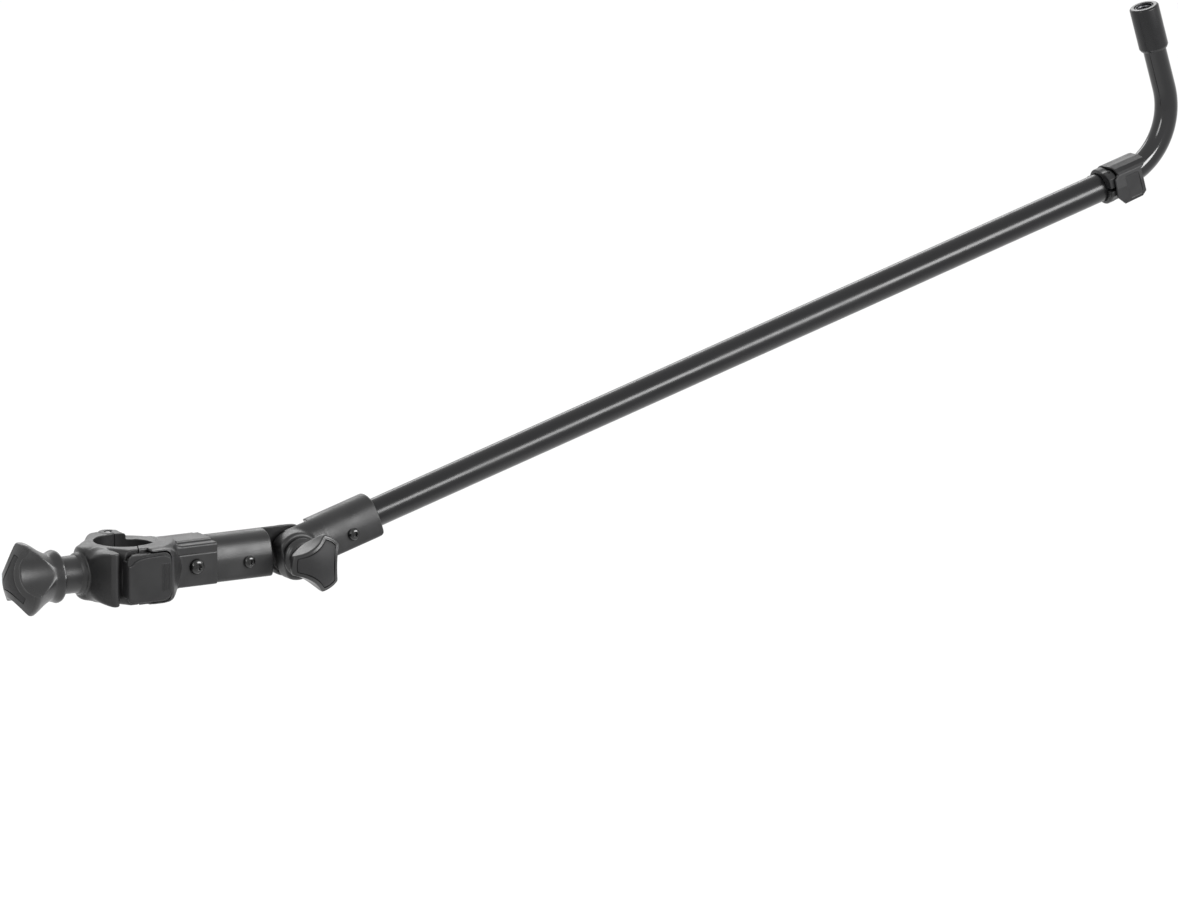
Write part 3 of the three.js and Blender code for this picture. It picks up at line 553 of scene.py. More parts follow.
def split_distance(x, y):
    """Distance to the front split line, positive on the jaw's side."""
    dx, dy = SPLIT_OUT[0] - SPLIT_IN[0], SPLIT_OUT[1] - SPLIT_IN[1]
    length = math.hypot(dx, dy)
    return (dy * (x - SPLIT_IN[0]) - dx * (y - SPLIT_IN[1])) / length


def body_side(p):
    return np.where(p[1] > 0, HINGE[0] + GAP / 2 - p[0], split_distance(p[0], p[1]))


def jaw_side(p):
    return np.where(p[1] > 0, p[0] - HINGE[0] + GAP / 2, -split_distance(p[0], p[1]) + GAP)


def barrel(r, z0, z1, edge=0.0):
    return rod(2, r, z0, z1, HINGE[0], HINGE[1], edge)


ring = extrude(circle(RING_R), 2, -RING_H, RING_H, 2.6)
bore = rod(2, BORE_R, -40, 40)
nut_pocket = extrude(hexagon(8.6, *BLOCK_SCREW), 1, 11.8, 40)


def clamp_casting():
    low_side = join(0.1, block((9.4, -6.5, 13.2), (60, 60, 30)), block((9.4, -6.5, -30), (60, 60, -13.2)))
    shell = carve(1.6, clip(0.1, ring, body_side), low_side)
    shell = carve(0.3, shell, block((-14, -40, -20), (1.6, -25.8, 20)))
    plan = polygon([(-12, -25.8), (-12, -14), (30, -14), (28.5, -16.6), (25, -20.8), (20.5, -26.2),
                    (16.8, -30.4), (13.6, -32.2), (1.6, -32.2), (1.6, -25.8)])
    lower = [(9.7, -16.5), (15.6, -15.2), (19.5, -13.4), (22.6, -11.3), (25.5, -8.3), (27.8, -4.6),
             (28.8, -1)]
    front = polygon([(-60, -16.5)] + lower + [(x, -z) for x, z in reversed(lower)] + [(-60, 16.5)])
    lug = clip(1.6, extrude(plan, 2, -RING_H + 0.2, RING_H - 0.2, 0.8), extrude(front, 1, -60, 0))
    tongue = block((-12, -30.7, -12.3), (1.6, -20, 12.3), 0.5)
    lug = clip(0.2, join(0.3, lug, tongue), body_side)
    body = extrude(rect(-BLOCK_W, BLOCK_W, -BLOCK_H, 12.7, 1.6), 0, 14, BLOCK_END, 0.8)
    raised = polygon([(-9.2, 11), (-8.2, 14.1), (8.2, 14.1), (9.2, 11)])
    plateau = extrude(raised, 0, 24, BLOCK_END - 0.2, 0.5)
    rails = [extrude(rect(y - 0.5, y + 0.5, 11.9, 16, 0.2), 0, 20, BLOCK_END + 4) for y in (-9.9, 9.9)]
    body = carve(0.3, join(0.8, body, plateau), *rails)
    seam = block((24, -17, 6.9), (60, -15.85, 7.2))
    gusset = extrude(polygon([(16, 10), (16, 16), (22, 15.4), (29, 12.6), (29, 10)]), 1, -15.2, -6.5, 0.8)
    knuckles = join(0.2, barrel(BARREL_R, KNUCKLE_H + GAP, RING_H, 0.8),
                    barrel(BARREL_R, -RING_H, -KNUCKLE_H - GAP, 0.8))
    whole = join(2.4, join(2.0, shell, lug), body)
    whole = join(1.2, whole, gusset)
    whole = clip(0.1, join(0.8, whole, knuckles), join(0.1, body_side, barrel(BARREL_R + 1, -20, 20)))
    recess = clip(0.2, extrude(rect(-40, 14.5, -15.2, 15.2, 5.2), 1, -40, -25.5),
                  half_space((-1, 0, 0), -1.0))
    return carve(
        0.35, whole, bore, recess, seam,
        block((-14, -40, -20), (1.6, -32.0, 20)),
        barrel(BARREL_R + GAP, -KNUCKLE_H - GAP, KNUCKLE_H + GAP),
        rod(2, PIN_R + 0.15, -30, 30, HINGE[0], HINGE[1]),
        rod(2, LATCH_PIN_R + GAP, -20, 20, LATCH[0], LATCH[1]),
        rod(0, SPIGOT_R + GAP, 27, 60),
        rod(1, 2.8, -30, 30, *BLOCK_SCREW), nut_pocket)


def jaw_casting():
    taper = turned(0, [(0, -34), (14.4, -34), (17, -26), (22, -18), (44, 0), (44, 44), (0, 44)])
    latch_room = block((-17.8, -40, -30), (6, -25.6, 30))
    arc = carve(0.6, clip(2.2, clip(0.1, ring, jaw_side), taper), latch_room)
    rolled = arc_points(3.0, 208, 360, 9, -20.8, -26.5)
    plan = polygon([(-29.3, -8), (-29.5, -12.4)] + rolled + [(-17.8, -20), (-22, -8)])
    outline = rect(-29.6, 40, -16.1, 16.1, 8.5)
    boss = clip(1.2, extrude(plan, 2, -16.4, 16.4, 0.6), extrude(outline, 1, -40, 0))
    neck = turned(0, [(0, NECK_END), (NECK_R - 0.6, NECK_END), (NECK_R, NECK_END + 0.6),
                      (NECK_R + 0.2, -33.4), (NECK_R + 0.9, -32.6), (NECK_R + 1.5, -31.4),
                      (NECK_R + 1.5, -26), (0, -26)])
    ridge = block((-11.6, -28.2, -11.4), (-8.4, -23, 11.4), 0.5)
    knuckle = barrel(BARREL_R, -KNUCKLE_H, KNUCKLE_H, 0.5)
    whole = join(1.2, join(2.2, arc, boss), neck)
    whole = clip(0.1, join(0.5, whole, ridge, knuckle), join(0.1, jaw_side, knuckle))
    sweep_room = clip(0.2, rod(2, PAD_OUT + 2.5, -11.9, 11.9),
                      lambda p: np.abs(np.arctan2(p[1], -p[0])) * 22 - math.radians(48) * 22)
    return carve(
        0.35, whole, bore, sweep_room,
        barrel(BARREL_R + GAP, KNUCKLE_H, 30), barrel(BARREL_R + GAP, -30, -KNUCKLE_H),
        rod(2, PIN_R + 0.15, -30, 30, HINGE[0], HINGE[1]),
        rod(0, 5.6, -27.2, -15), rod(0, SCREW_R + 0.6, -60, -15), rod(0, 6.0, -60, -37))


solid("clamp_casting", clamp_casting(), lo=(-13, -33, -18), hi=(54.5, 33, 18), step=0.55,
      body="clamp_base", slot="casting", material=CAST)
solid("jaw_casting", jaw_casting(), lo=(-49.5, -31, -18), hi=(10, 33, 18), step=0.55,
      body="jaw", slot="casting", material=CAST)
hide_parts("clamp_body")
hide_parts("swing_jaw")


# ----------------------------------------------------------------------- latch
def latch_cover():
    outline = polygon([(-15.0, -10.5), (-14.0, -12.2), (-12.0, -13.3), (-9.5, -13.9), (8.5, -14.0),
                       (11.6, -12.6), (13.5, -9.2), (13.5, 8.6), (12.2, 11.6), (8.8, 13.2), (-2.5, 12.9),
                       (-7.4, 12.3), (-10.4, 11.2), (-12.2, 9.5), (-13.4, 8.9), (-15.0, 8.8)])
    face = extrude(outline, 1, -34.0, -31.6, 0.8)
    flange = extrude(rect(-15.2, 13.8, -14.6, 14.6, 4.8), 1, -32.9, -31.3, 0.5)
    wall = polygon([(-11.2, -32), (-11.6, -29.6), (-6, -26.2), (1.2, -26.2), (1.2, -32)])
    walls = [extrude(wall, 2, *z, 0.3) for z in ((12.6, 14.5), (-14.5, -12.6))]
    nose = block((-15.0, -32, -11), (-12.3, -26.2, 11), 0.3)
    rib_starts = [7.0 + 1.2 * i for i in range(5)]
    ribs = [block((x, -34.3, -8), (x + 0.5, -33.2, 8), 0.22) for x in rib_starts]
    whole = join(0.25, face, flange, *walls, nose, *ribs)
    return carve(0.2, whole, rod(2, LATCH_PIN_R + GAP, -30, 30, LATCH[0], LATCH[1]),
                 rod(1, SPRING_R + 0.8, -32.2, -30, SPRING_X, 0))


solid("latch_cover", latch_cover(), lo=(-15.5, -34.5, -15), hi=(14.2, -26, 15), step=0.36,
      body="latch", slot="moulded", material=LATCH_PLASTIC)
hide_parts("latch_lever")
for pin, r, half, centre, node in (("hinge_pin_headed", PIN_R, 16.2, HINGE, "hinge_pin"),
                                   ("latch_pin_headed", LATCH_PIN_R, 14.1, LATCH, "latch_pin")):
    lathe(pin, [(0.01, -half), (0.7 * r, -half), (r, -half + 0.45), (r, half - 0.45),
                (0.7 * r, half), (0.01, half)], (centre[0], centre[1], 0), "clamp_base", "steel",
          ZINC, columns=40)
    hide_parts(node)


def spring_coil():
    turns, wire_r, columns = 4, 0.3, 12
    path, tangents = [], []
    for t in np.linspace(0, 1, turns * 24 + 1):
        angle = 2 * math.pi * turns * t
        path.append((SPRING_X + SPRING_R * math.cos(angle), SPRING_TOP + (SPRING_SEAT - SPRING_TOP) * t,
                     SPRING_R * math.sin(angle)))
        tangents.append((-math.sin(angle), 0, math.cos(angle)))
    points = sweep(np.array(path), np.array(tangents), np.full(len(path), wire_r), columns)
    faces = grid_faces(len(path), columns)
    faces.append(tuple(range(columns - 1, -1, -1)))
    faces.append(tuple(range((len(path) - 1) * columns, len(path) * columns)))
    return points, faces


spring = add("latch_coil", *spring_coil(), "clamp_base", "steel", ZINC, sharp=60)
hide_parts("latch_spring")
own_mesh(spring)


# ------------------------------------------------------------------------ pad
def pad_arc(inner, outer, half_span, z, r):
    def annulus(u, v):
        return np.maximum(np.hypot(u, v) - outer, inner - np.hypot(u, v))

    ring_part = extrude(annulus, 2, -z, z, r)
    span = math.radians(half_span)
    return clip(0.5, ring_part,
                lambda p: (np.abs(np.arctan2(p[1], -p[0])) - span) * (inner + outer) / 2)


def pad_rubber():
    ridges = [rod(2, 0.3, -20, 20, -PAD_IN * math.cos(a), PAD_IN * math.sin(a))
              for a in np.radians(np.arange(-30, 31, 6))]
    return carve(0.2, pad_arc(PAD_IN, PAD_IN + 1.2, 36, 10.8, 0.3), *ridges)


def pad_carrier():
    hub = rod(0, 5, -24.6, -20.4, 0, 0, 0.4)
    return carve(0.2, join(0.8, pad_arc(PAD_IN + 1.5, PAD_OUT, 37, 11.2, 0.5), hub),
                 rod(0, 3.2, -26, -22))


solid("pad_rubber", pad_rubber(), lo=(-19.5, -12, -11), hi=(-13, 12, 11), step=0.3,
      body="pad", slot="rubber", material=RUBBER)
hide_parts("pad_face")
solid("pad_carrier", pad_carrier(), lo=(-25, -13.5, -11.5), hi=(-14, 13.5, 11.5), step=0.4,
      body="pad", slot="moulded", material=KNOB)
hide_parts("pad_shoe")

# ---------------------------------------------------------------------- knobs
# lobe, valley and low are distances from the axis: to a lobe's tip, and to the
# scoops between the lobes at the top and at the base. scoop is a scoop's own
# radius, length the height at a lobe's tip, and dome the radius of the domed
# top. inlay holds the lobe, valley and scoop of the cap's outline, and flare
# the cup's profile as (radius, height).
CLAMP_KNOB = dict(lobe=22.3, valley=11.5, low=15.2, scoop=17.9, length=23.2, dome=32.0,
                  inlay=(15.5, 6.0, 19.7), neck=NECK_R + 0.7, neck_depth=10.4, bore=SCREW_R + GAP,
                  bore_depth=18.6, edge=1.3,
                  flare=[(15.5, 0.7), (15.7, 1.3), (15.4, 2.4), (14.6, 4.4), (14.3, 6.6), (15.6, 9.8),
                         (17.5, 13.1), (19.6, 16.2), (21.3, 18.9), (22.7, 21.8), (23.6, 25), (24, 30)])
TILT_KNOB = dict(lobe=17.6, valley=11.2, low=12.0, scoop=29.2, length=21.6, dome=28.0,
                 inlay=(14.8, 8.6, 25.0), neck=9.3, neck_depth=1.1, bore=5.8, bore_depth=16.2, edge=1.1,
                 flare=[(11.4, 0.6), (11.6, 1.2), (11.2, 2.2), (9.8, 3.6), (9.2, 5.6), (10.0, 8.4),
                        (11.8, 11.6), (14.2, 14.6), (16.4, 17.2), (17.9, 20.2), (18.8, 23), (19.2, 28)])


NO_SCOOP = 99  # farther out than any knob
POCKET = 1.9  # depth of the pocket that holds the inlay
INLAY_SUNK = 0.14
KNOB_COLUMNS = 288


def mix(a, b, t):
    return a + (b - a) * t


def curve_through(points, per_span):
    """A smooth curve through (radius, height) points."""
    pts = [np.array(p, float) for p in points]
    pts = [2 * pts[0] - pts[1]] + pts + [2 * pts[-1] - pts[-2]]
    out = []
    for a, b, c, d in zip(pts, pts[1:], pts[2:], pts[3:]):
        for t in np.arange(per_span) / per_span:
            out.append(0.5 * ((2 * b) + (c - a) * t + (2 * a - 5 * b + 4 * c - d) * t * t
                              + (3 * b - a - 3 * c + d) * t ** 3))
    out.append(pts[-2])
    return [tuple(p) for p in out]


def knob(name, k, axis, centre, phase, body, nodes):
    flare = curve_through(k["flare"], 6)
    flare_r, flare_h = [p[0] for p in flare], [p[1] for p in flare]

    def scoop(angle, nearest, r):
        """Distance from the axis to the scoops; each is nearest midway between two lobes."""
        pitch = 2 * math.pi / 3
        off = ((angle - phase) / pitch % 1 - 0.5) * pitch
        reach = nearest + r
        aside = reach * math.sin(off)
        if abs(aside) >= r:
            return NO_SCOOP
        return reach * math.cos(off) - math.sqrt(r * r - aside * aside)

    def lobed(angle, lobe, valley, r):
        return float(soft_min(lobe, scoop(angle, valley, r), 2.0))

    def dome(r):
        return k["length"] + (k["lobe"] ** 2 - r ** 2) / (2 * k["dome"])

    def flank(angle, height, top):
        """The flared cup, where none of the three scoops cuts into it."""
        t = min(height / top, 1)
        cup = soft_min(np.interp(height, flare_h, flare_r), k["lobe"], 0.3)
        nearest = mix(k["valley"], k["low"], (1 - t) ** 1.6)
        return float(soft_min(cup, scoop(angle, nearest, k["scoop"]), mix(0.9, 2.0, t * t)))

    def inlay(angle):
        return lobed(angle, *k["inlay"])

    def column(angle):
        top = dome(lobed(angle, k["lobe"], k["valley"], k["scoop"]))
        edge = k["edge"]
        skirt_top = 4
        heights = np.concatenate([np.linspace(k["flare"][0][1], skirt_top, 12),
                                  np.linspace(skirt_top, top - edge, 34)[1:]])
        side = [(flank(angle, h, top), h) for h in heights]
        r = side[-1][0]
        bend = [(r - edge * (1 - math.cos(t)), mix(top - edge, dome(r - edge), math.sin(t)))
                for t in np.radians([15, 30, 45, 60, 75, 90])]
        lip = inlay(angle) + 0.4
        brim = [(b, dome(b)) for b in (mix(r - edge, lip + 0.25, t) for t in (0.3, 0.6, 0.85, 1))]
        inside = [(lip + 0.06, dome(lip) - 0.08), (lip, dome(lip) - 0.3), (lip, dome(lip) - POCKET),
                  (lip * 0.5, dome(lip * 0.5) - POCKET), (0.01, dome(0) - POCKET)]
        base = [(0.01, k["bore_depth"]), (k["bore"], k["bore_depth"]), (k["bore"], k["neck_depth"]),
                (k["neck"], k["neck_depth"]), (k["neck"], 0.3), (k["neck"] + 0.3, 0),
                (side[0][0] - 0.45, 0), (side[0][0] - 0.12, 0.2)]
        return base + side + bend + brim + inside

    def panel(angle):
        r = inlay(angle)
        under = POCKET - GAP
        low = [(0.01, dome(0) - under), (r * 0.5, dome(r * 0.5) - under), (r, dome(r) - under)]
        edge = [(r, dome(r) - 0.6), (r - 0.1, dome(r - 0.1) - 0.32), (r - 0.4, dome(r - 0.4) - 0.17)]
        top = [(r * t, dome(r * t) - INLAY_SUNK) for t in (0.85, 0.65, 0.45, 0.25)]
        return low + edge + top + [(0.01, dome(0) - INLAY_SUNK)]

    points, faces = revolve(axis, column, centre, KNOB_COLUMNS, False)
    add(name, points, faces, body, "moulded", KNOB, sharp=50)
    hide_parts(nodes[0])
    points, faces = revolve(axis, panel, centre, KNOB_COLUMNS, False)
    add(name + "_inlay", points, faces, body, "moulded", PANEL, sharp=50)
    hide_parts(nodes[1])


# phase is the first lobe's direction, from the first spoke of the axis frame
knob("clamp_knob_grip", CLAMP_KNOB, "-x", (KNOB_X, 0, 0), phase=math.radians(-8),
     body="clamp_knob_set", nodes=("clamp_knob", "clamp_knob_panel"))
knob("tilt_knob_grip", TILT_KNOB, "-y", (PIVOT[0], KNOB_Y, PIVOT[2]), phase=math.radians(58),
     body="tilt_knob_set", nodes=("tilt_knob", "tilt_knob_panel"))


# ----------------------------------------------------------------- fasteners
M5_BUTTON = dict(head_r=4.75, head_h=2.75, shank_r=2.5, key=3.0)
M4_BUTTON = dict(head_r=3.8, head_h=2.2, shank_r=2.0, key=2.5)
# share of the head's radius and of its height, from the crown down
BUTTON_CURVE = [(0, 1), (0.5, 1), (0.72, 0.88), (0.88, 0.62), (0.97, 0.3), (1, 0.12)]


def button_screw(name, node, face, shank_end, at, body, place=WORLD, *, head_r, head_h, shank_r, key):
    """A button screw along y, its head on the front of the plane y = face."""
    x, z = at
    crown = [(head_r * r, face - head_h * h) for r, h in BUTTON_CURVE]
    cap = turned(1, crown + [(head_r, face - GAP), (0, face - GAP)], x, z)
    shank = rod(1, shank_r, face - 1, shank_end, x, z, 0.2)
    socket = extrude(hexagon(key, x, z), 1, face - head_h - 2, face - head_h + 1.4)
    dish = turned(1, [(0, face - head_h - 1), (key * 0.78, face - head_h - 1),
                      (key * 0.58, face - head_h + 0.35), (0, face - head_h + 0.35)], x, z)
    field = carve(0.12, join(0.1, cap, shank), socket, dish)
    margin = 0.3
    reach = head_r + margin
    solid(name, field, lo=(x - reach, face - head_h - margin, z - reach),
          hi=(x + reach, shank_end + margin, z + reach), step=0.2,
          body=body, slot="steel_black", material=OXIDE, place=place)
    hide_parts(node)


button_screw("block_button_screw", "block_screw", -BLOCK_W, 15.6, BLOCK_SCREW, "clamp_base", **M5_BUTTON)
button_screw("stub_button_screw", "stub_screw", -EAR_FACE, 1.4, STUB_SCREW, "clamp_base", **M4_BUTTON)
button_screw("socket_button_screw", "socket_screw", -SOCKET_W, -7.9, SOCKET_SCREW, "arm", ARM,
             **M4_BUTTON)


# ----------------------------------------------------------------- tilt joint
def tilt_stub():
    section = arch(EAR_FACE, -12.9, STUB_TOP, 3.2)
    stem = extrude(section, 0, BLOCK_END + GAP, STUB_END, 0.9)
    disc = rod(1, EAR_R, EAR_INNER, EAR_FACE, PIVOT[0], PIVOT[2], 1.6)
    crown_r = (EAR_R + STUB_TOP - PIVOT[2]) / 2
    rear_half = block((0, EAR_INNER, -30), (200, 40, 30))
    web = clip(0.8, extrude(section, 0, STUB_END - 4, PIVOT[0]), rear_half)
    crown = clip(0.8, extrude(section, 0, STUB_END, PIVOT[0] + 20), rear_half,
                 rod(1, crown_r, -20, 20, PIVOT[0], STUB_TOP - crown_r))
    whole = join(0.1, stem, join(0.6, disc, join(0.1, web, crown)))
    lip = block((BLOCK_END - 1, -20, 15.0), (BLOCK_END + 2.0, 20, 20))
    return carve(
        0.3, whole, lip, rod(0, SPIGOT_R + GAP, 40, 88 + GAP), rod(1, 2.3, -20, 2, *STUB_SCREW),
        rod(1, BOLT_R + GAP, -20, 20, PIVOT[0], PIVOT[2]),
        extrude(hexagon(13.6, PIVOT[0], PIVOT[2]), 1, 8.2, 30))


def socket_casting():
    section = arch(SOCKET_W, SOCKET_LOW, SOCKET_TOP, 3.2)
    stem = extrude(section, 0, 0, SOCKET_END, 1.2)
    stem = carve(0.6, stem, rod(1, 21.4, -40, 40))
    disc = clip(2.4, rod(1, EAR_R, -EAR_FACE, -EAR_INNER, 0, 0, 2.4), half_space((-1, 0, 0), 10.7))
    web = clip(0.8, extrude(section, 0, 0, 22), block((-1, -EAR_FACE, -30), (40, -EAR_INNER, 30)))
    whole = join(0.1, stem, join(1.6, disc, web))
    corner = rod(1, 4.0, -40, 40, SOCKET_END - 4, SOCKET_LOW + 4)
    round_end = carve(0.1, block((SOCKET_END - 4, -40, -40), (90, 40, SOCKET_LOW + 4)), corner)
    return carve(
        0.3, whole, round_end, rod(0, OUTER_R + GAP, OUTER_START - GAP, 90, 0, TUBE_N),
        rod(1, 2.3, -20, -6, *SOCKET_SCREW), rod(1, BOLT_R + GAP, -20, 20))


solid("tilt_stub_casting", tilt_stub(), lo=(53, -14, -18), hi=(125, 14, 15), step=0.5,
      body="clamp_base", slot="casting", material=CAST)
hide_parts("tilt_stub")
solid("socket_casting", socket_casting(), lo=(-15, -14, -15), hi=(58, 14, 15.5), step=0.5,
      body="arm", slot="casting", material=CAST, place=ARM)
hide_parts("arm_socket")


def tilt_bolt():
    head = extrude(hexagon(13, PIVOT[0], PIVOT[2]), 1, 8.5, 13.2, 0.2)
    crown = turned(1, [(0, 8), (7.0, 8), (7.0, 12.4), (6.1, 13.2), (0, 13.2)], PIVOT[0], PIVOT[2])
    return join(0.2, clip(0.2, head, crown), rod(1, BOLT_R, -29.8, 9, PIVOT[0], PIVOT[2], 0.5))


solid("tilt_bolt_hex", tilt_bolt(), lo=(PIVOT[0] - 8, -30, PIVOT[2] - 8),
      hi=(PIVOT[0] + 8, 13.5, PIVOT[2] + 8), step=0.34, body="clamp_base", slot="steel", material=ZINC)
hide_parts("tilt_bolt")


# ------------------------------------------------------------------ arm tubes
def tube(name, r, wall, path, tangents, body, slot, mat, node):
    """A pipe along a path, with its ends broken by a small chamfer."""
    rim, columns = 0.3, 72
    path, tangents = np.array(path, float), np.array(tangents, float)
    outer_r = np.full(len(path), r)
    outer_r[[0, -1]] = r - rim
    inner_r = np.full(len(path), r - wall)
    inner_r[[0, -1]] = r - wall + rim
    skin = sweep(path, tangents, outer_r, columns)
    lining = sweep(path[::-1], tangents[::-1], inner_r, columns)
    points = np.concatenate([skin, lining])
    faces = grid_faces(2 * len(path), columns, True)
    piece = add(name, points, faces, body, slot, mat, ARM, sharp=35)
    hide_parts(node)


def straight(x0, x1, count=2):
    """A path along the tube axis, with a short step at each end for the chamfer."""
    inset = 0.3
    middle = list(np.linspace(x0 + inset, x1 - inset, count)[1:-1])
    stations = [x0, x0 + inset] + middle + [x1 - inset, x1]
    return [(x, 0, TUBE_N) for x in stations], [(1, 0, 0)] * len(stations)


def bent_path():
    path, tangents = straight(INNER_START, BEND_START - 1)
    for t in np.linspace(0, 1, 33):
        a = t * math.pi / 2
        path.append((BEND_START + BEND_R * math.sin(a), 0, TUBE_N + BEND_R * (1 - math.cos(a))))
        tangents.append((math.cos(a), 0, math.sin(a)))
    top = SLEEVE_TOP - 6
    for z in (TUBE_N + BEND_R + 2, top - 0.3, top):
        path.append((END_X, 0, z))
        tangents.append((0, 0, 1))
    return path, tangents


tube("outer_tube_satin", OUTER_R, OUTER_WALL, *straight(OUTER_START, OUTER_END, 4), body="arm",
     slot="tube_black", mat=SATIN, node="outer_tube")
tube("inner_tube_gloss", INNER_R, INNER_WALL, *bent_path(), body="end_tube", slot="tube_gloss",
     mat=GLOSS, node="inner_tube")
sleeve_profile = [(INNER_R + GAP, SLEEVE_LOW), (SLEEVE_R - 0.9, SLEEVE_LOW), (SLEEVE_R, SLEEVE_LOW + 1.7),
                  (SLEEVE_R, SLEEVE_TOP - 0.9), (SLEEVE_R - 0.9, SLEEVE_TOP), (6.2, SLEEVE_TOP),
                  (5.9, SLEEVE_TOP - 0.4), (5.9, SLEEVE_TOP - 5.7), (INNER_R + GAP, SLEEVE_TOP - 5.7)]
lathe("end_sleeve_turned", sleeve_profile, (END_X, 0, 0), "end_tube", "steel_black", SLEEVE, ARM,
      closed=True, columns=96)
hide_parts("end_sleeve")
INSERT_TOP = SLEEVE_TOP - 0.3
INSERT_LOW = SLEEVE_TOP - 17
INSERT_R = 5.55
THREAD_CREST_R = 4.75
THREAD_ROOT_R = 5.2
THREAD_PITCH = 25.4 / 16


def insert_column(angle):
    bore_thread = nut_thread(THREAD_CREST_R, THREAD_ROOT_R, THREAD_PITCH, INSERT_LOW + 0.1,
                             INSERT_TOP - 0.6, angle)
    outside = [(5.3, INSERT_TOP), (INSERT_R, INSERT_TOP - 0.25), (INSERT_R, INSERT_LOW)]
    return [(THREAD_ROOT_R, INSERT_LOW)] + bore_thread + [(5.1, INSERT_TOP)] + outside


points, faces = revolve("z", insert_column, (END_X, 0, 0), 64, True)
add("sleeve_thread", points, [f[::-1] for f in faces], "end_tube", "steel", DARK_STEEL, ARM, sharp=60)
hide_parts("sleeve_insert")


# ------------------------------------------------------- tube lock at the end
def around(points):
    return polygon([(y, n + TUBE_N) for y, n in points])


def lever_rod(r, x0, x1, edge=0.0):
    return rod(0, r, x0, x1, *LEVER_PIN, edge)


LIP_END = COLLAR_START + 5.2
BARREL_START = COLLAR_START + 7.6
TAB_END = COLLAR_START + 27.3


def collar():
    front = extrude(around([(-13.8, 6.8), (-13.8, -4.2), (-8, -8.6), (0, -10.2), (0, 9.8), (-8, 10.4),
                            (-11.6, 9)]), 0, COLLAR_START, COLLAR_END, 0.7)
    lip = rod(0, 11.2, COLLAR_START, LIP_END, 0, TUBE_N, 1.0)
    ring_part = rod(0, 10.3, COLLAR_START + 1, COLLAR_END, 0, TUBE_N, 0.3)
    room = carve(0.1, block((LIP_END, -40, -40), (COLLAR_END + 1, 40, 40)),
                 rod(0, 10.3, LIP_END - 1, COLLAR_END + 2, 0, TUBE_N),
                 block((LIP_END - 1, -14, TUBE_N - 11), (COLLAR_END + 2, -2, TUBE_N + 6.6)))
    knuckle = join(0.4, lever_rod(2.4, COLLAR_START + 0.8, BARREL_START - GAP, 0.3),
                   block((COLLAR_START + 0.8, 9, TUBE_N - 0.4), (BARREL_START - GAP, 13, TUBE_N + 4.4),
                         0.3))
    whole = join(0.5, carve(0.2, join(0.9, front, lip, ring_part), room), knuckle)
    dimple = rod(2, 0.75, TUBE_N + 8, 30, COLLAR_START + 3.4, -9.2)
    return carve(
        0.25, whole, dimple, rod(0, OUTER_R + 0.25, 500, OUTER_END + GAP, 0, TUBE_N),
        rod(0, INNER_R + 0.5, 580, 640, 0, TUBE_N), lever_rod(1.5, 580, 640),
        block((580, -16, TUBE_N - 1), (640, -6, TUBE_N + 1)))


def lever():
    start, end = COLLAR_START + 1.4, TAB_END
    section = around(arc_points(11.8, 16, 96, 12) + [
        (-6.5, 12.3), (-12.2, 11.3), (-14.6, 9.6), (-15.8, 7.8), (-16.4, 0), (-16.2, -8), (-15.2, -11.2),
        (-14.3, -11.2), (-14.5, -6), (-14.5, 6.9), (-11.8, 9.4), (-8, 10.9), (-4, 10.9)]
        + arc_points(10.6, 92, 16, 12))
    shell = extrude(section, 0, start, end, 0.35)
    front_shape = polygon([(x, n + TUBE_N) for x, n in (
        (start + 0.4, -5), (start + 1.6, 6), (start + 4.6, 8.2), (start + 4.6, 20), (end + 2, 20),
        (end + 2, 11), (end - 5, 6.4), (end - 5.2, -8), (end - 8, -10.6), (start + 5, -11))])
    front = clip(0.6, shell, extrude(front_shape, 1, -30, -8))
    roof = clip(0.3, shell, block((start - 2, -8.2, -40), (end + 2, 40, 60)))
    roof = carve(0.2, roof, block((start - 2, -8.3, -40), (LIP_END + GAP, 40, 60)),
                 block((start - 2, 7.5, -40), (BARREL_START, 40, 60)))
    hinge = join(0.5, lever_rod(2.4, BARREL_START, end - 2.6, 0.3),
                 block((BARREL_START, 10.7, TUBE_N + 1), (end - 2.6, 13, TUBE_N + 4.2), 0.3))
    panel_shape = rect(start + 8.6, end - 7.6, TUBE_N - 8.6, TUBE_N + 5.6, 1.4)
    return carve(0.35, join(0.3, front, roof, hinge), extrude(panel_shape, 1, -20, -15.85),
                 lever_rod(1.5, 560, 640))


solid("lock_collar", collar(), lo=(COLLAR_START, -14, -12), hi=(COLLAR_END, 16, 13), step=0.34,
      body="arm", slot="moulded", material=LEVER_PLASTIC, place=ARM)
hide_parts("tube_collar")
solid("lock_lever_shell", lever(), lo=(COLLAR_START, -17, -12), hi=(TAB_END, 16, 14), step=0.34,
      body="lock_lever", slot="moulded", material=LEVER_PLASTIC, place=ARM)
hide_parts("flip_lever")

# -------------------------------------------------------- CAD nodes that stay
KEPT = {"neck_insert": BRASS, "clamp_screw": ZINC, "block_nut": ZINC, "spigot": ZINC,
        "friction_washer": RUBBER, "thrust_washer": ZINC, "tilt_knob_insert": BRASS, "lever_pin": ZINC,
        "inner_guide": KNOB}
for node, mat in KEPT.items():
    mesh = frame["nodes"][node].data
    mesh.materials.clear()
    mesh.materials.append(mat)

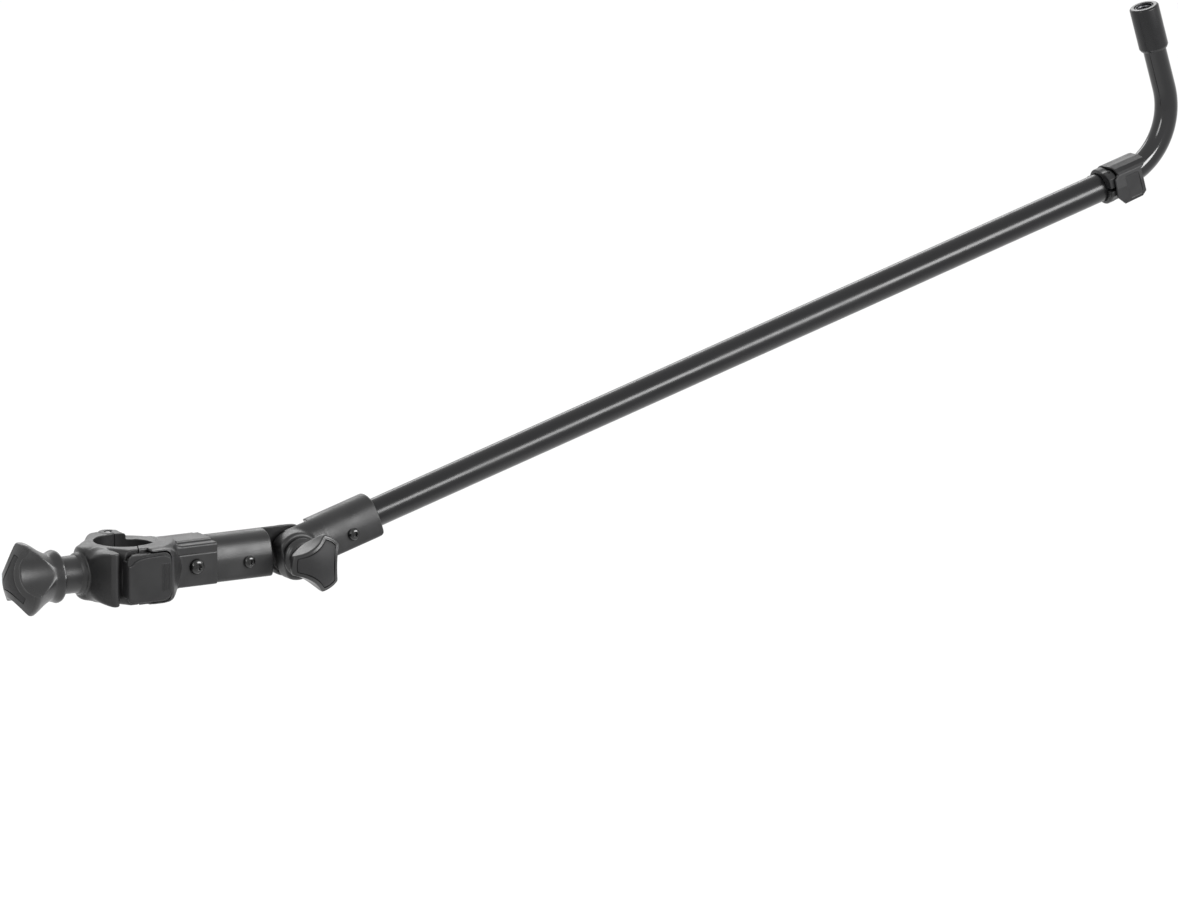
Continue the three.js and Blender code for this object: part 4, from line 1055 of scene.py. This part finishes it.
# -------------------------------------------------------------- stage and light
# from here on, lengths are metres
FLOOR_Z = -1.3
FLOOR_HALF = 10.0
SKY_STRENGTH = 1.1
floor_mat = material("stage_white", (0.92, 0.92, 0.92), 0.9, grain=40, bump=0.0, tint=0.01, mottle=2)
stage_points = [(x, y, FLOOR_Z) for x, y in ((-FLOOR_HALF, -FLOOR_HALF), (FLOOR_HALF, -FLOOR_HALF),
                                             (FLOOR_HALF, FLOOR_HALF), (-FLOOR_HALF, FLOOR_HALF))]
stage_mesh = bpy.data.meshes.new("stage")
stage_mesh.from_pydata(stage_points, [], [(0, 1, 2, 3)])
stage_mesh.materials.append(floor_mat)
stage = bpy.data.objects.new("stage", stage_mesh)
bpy.context.scene.collection.objects.link(stage)

world = bpy.data.worlds.new("studio")
world.use_nodes = True
world.node_tree.nodes["Background"].inputs["Color"].default_value = (1, 1, 1, 1)
world.node_tree.nodes["Background"].inputs["Strength"].default_value = SKY_STRENGTH
bpy.context.scene.world = world
TARGET = Vector((0.31451, 0, 0.03719))  # what the camera and the lights look at


def softbox(name, direction, distance, width, height, power):
    light = bpy.data.lights.new(name, "AREA")
    light.shape = "RECTANGLE"
    light.size, light.size_y = width, height
    light.energy = power
    lamp = bpy.data.objects.new(name, light)
    lamp.location = TARGET + Vector(direction).normalized() * distance
    lamp.rotation_euler = (TARGET - lamp.location).to_track_quat("-Z", "Y").to_euler()
    bpy.context.scene.collection.objects.link(lamp)


softbox("key", (0.49, -0.80, 0.38), distance=2.0, width=1.4, height=0.6, power=52)
softbox("left", (-0.92, -0.45, 0.45), distance=2.2, width=0.5, height=1.0, power=14)
softbox("rim", (0.2, 0.9, 0.55), distance=2.4, width=2.0, height=0.6, power=16)


# ------------------------------------------------------------------- camera
AZIMUTH = math.radians(-30)
ELEVATION = math.radians(12)
DISTANCE = 8.0
LENS_MM = 409.3
SENSOR_MM = 36.0
back = Vector((math.sin(AZIMUTH) * math.cos(ELEVATION), -math.cos(AZIMUTH) * math.cos(ELEVATION),
               math.sin(ELEVATION)))
lens = bpy.data.cameras.new("camera")
lens.sensor_fit = "HORIZONTAL"
lens.sensor_width = SENSOR_MM
lens.lens = LENS_MM
lens.clip_end = 100
camera = bpy.data.objects.new("camera", lens)
camera.location = TARGET + back * DISTANCE
camera.rotation_euler = (-back).to_track_quat("-Z", "Y").to_euler()
bpy.context.scene.collection.objects.link(camera)
bpy.context.scene.camera = camera
bpy.context.scene.view_settings.view_transform = "Standard"
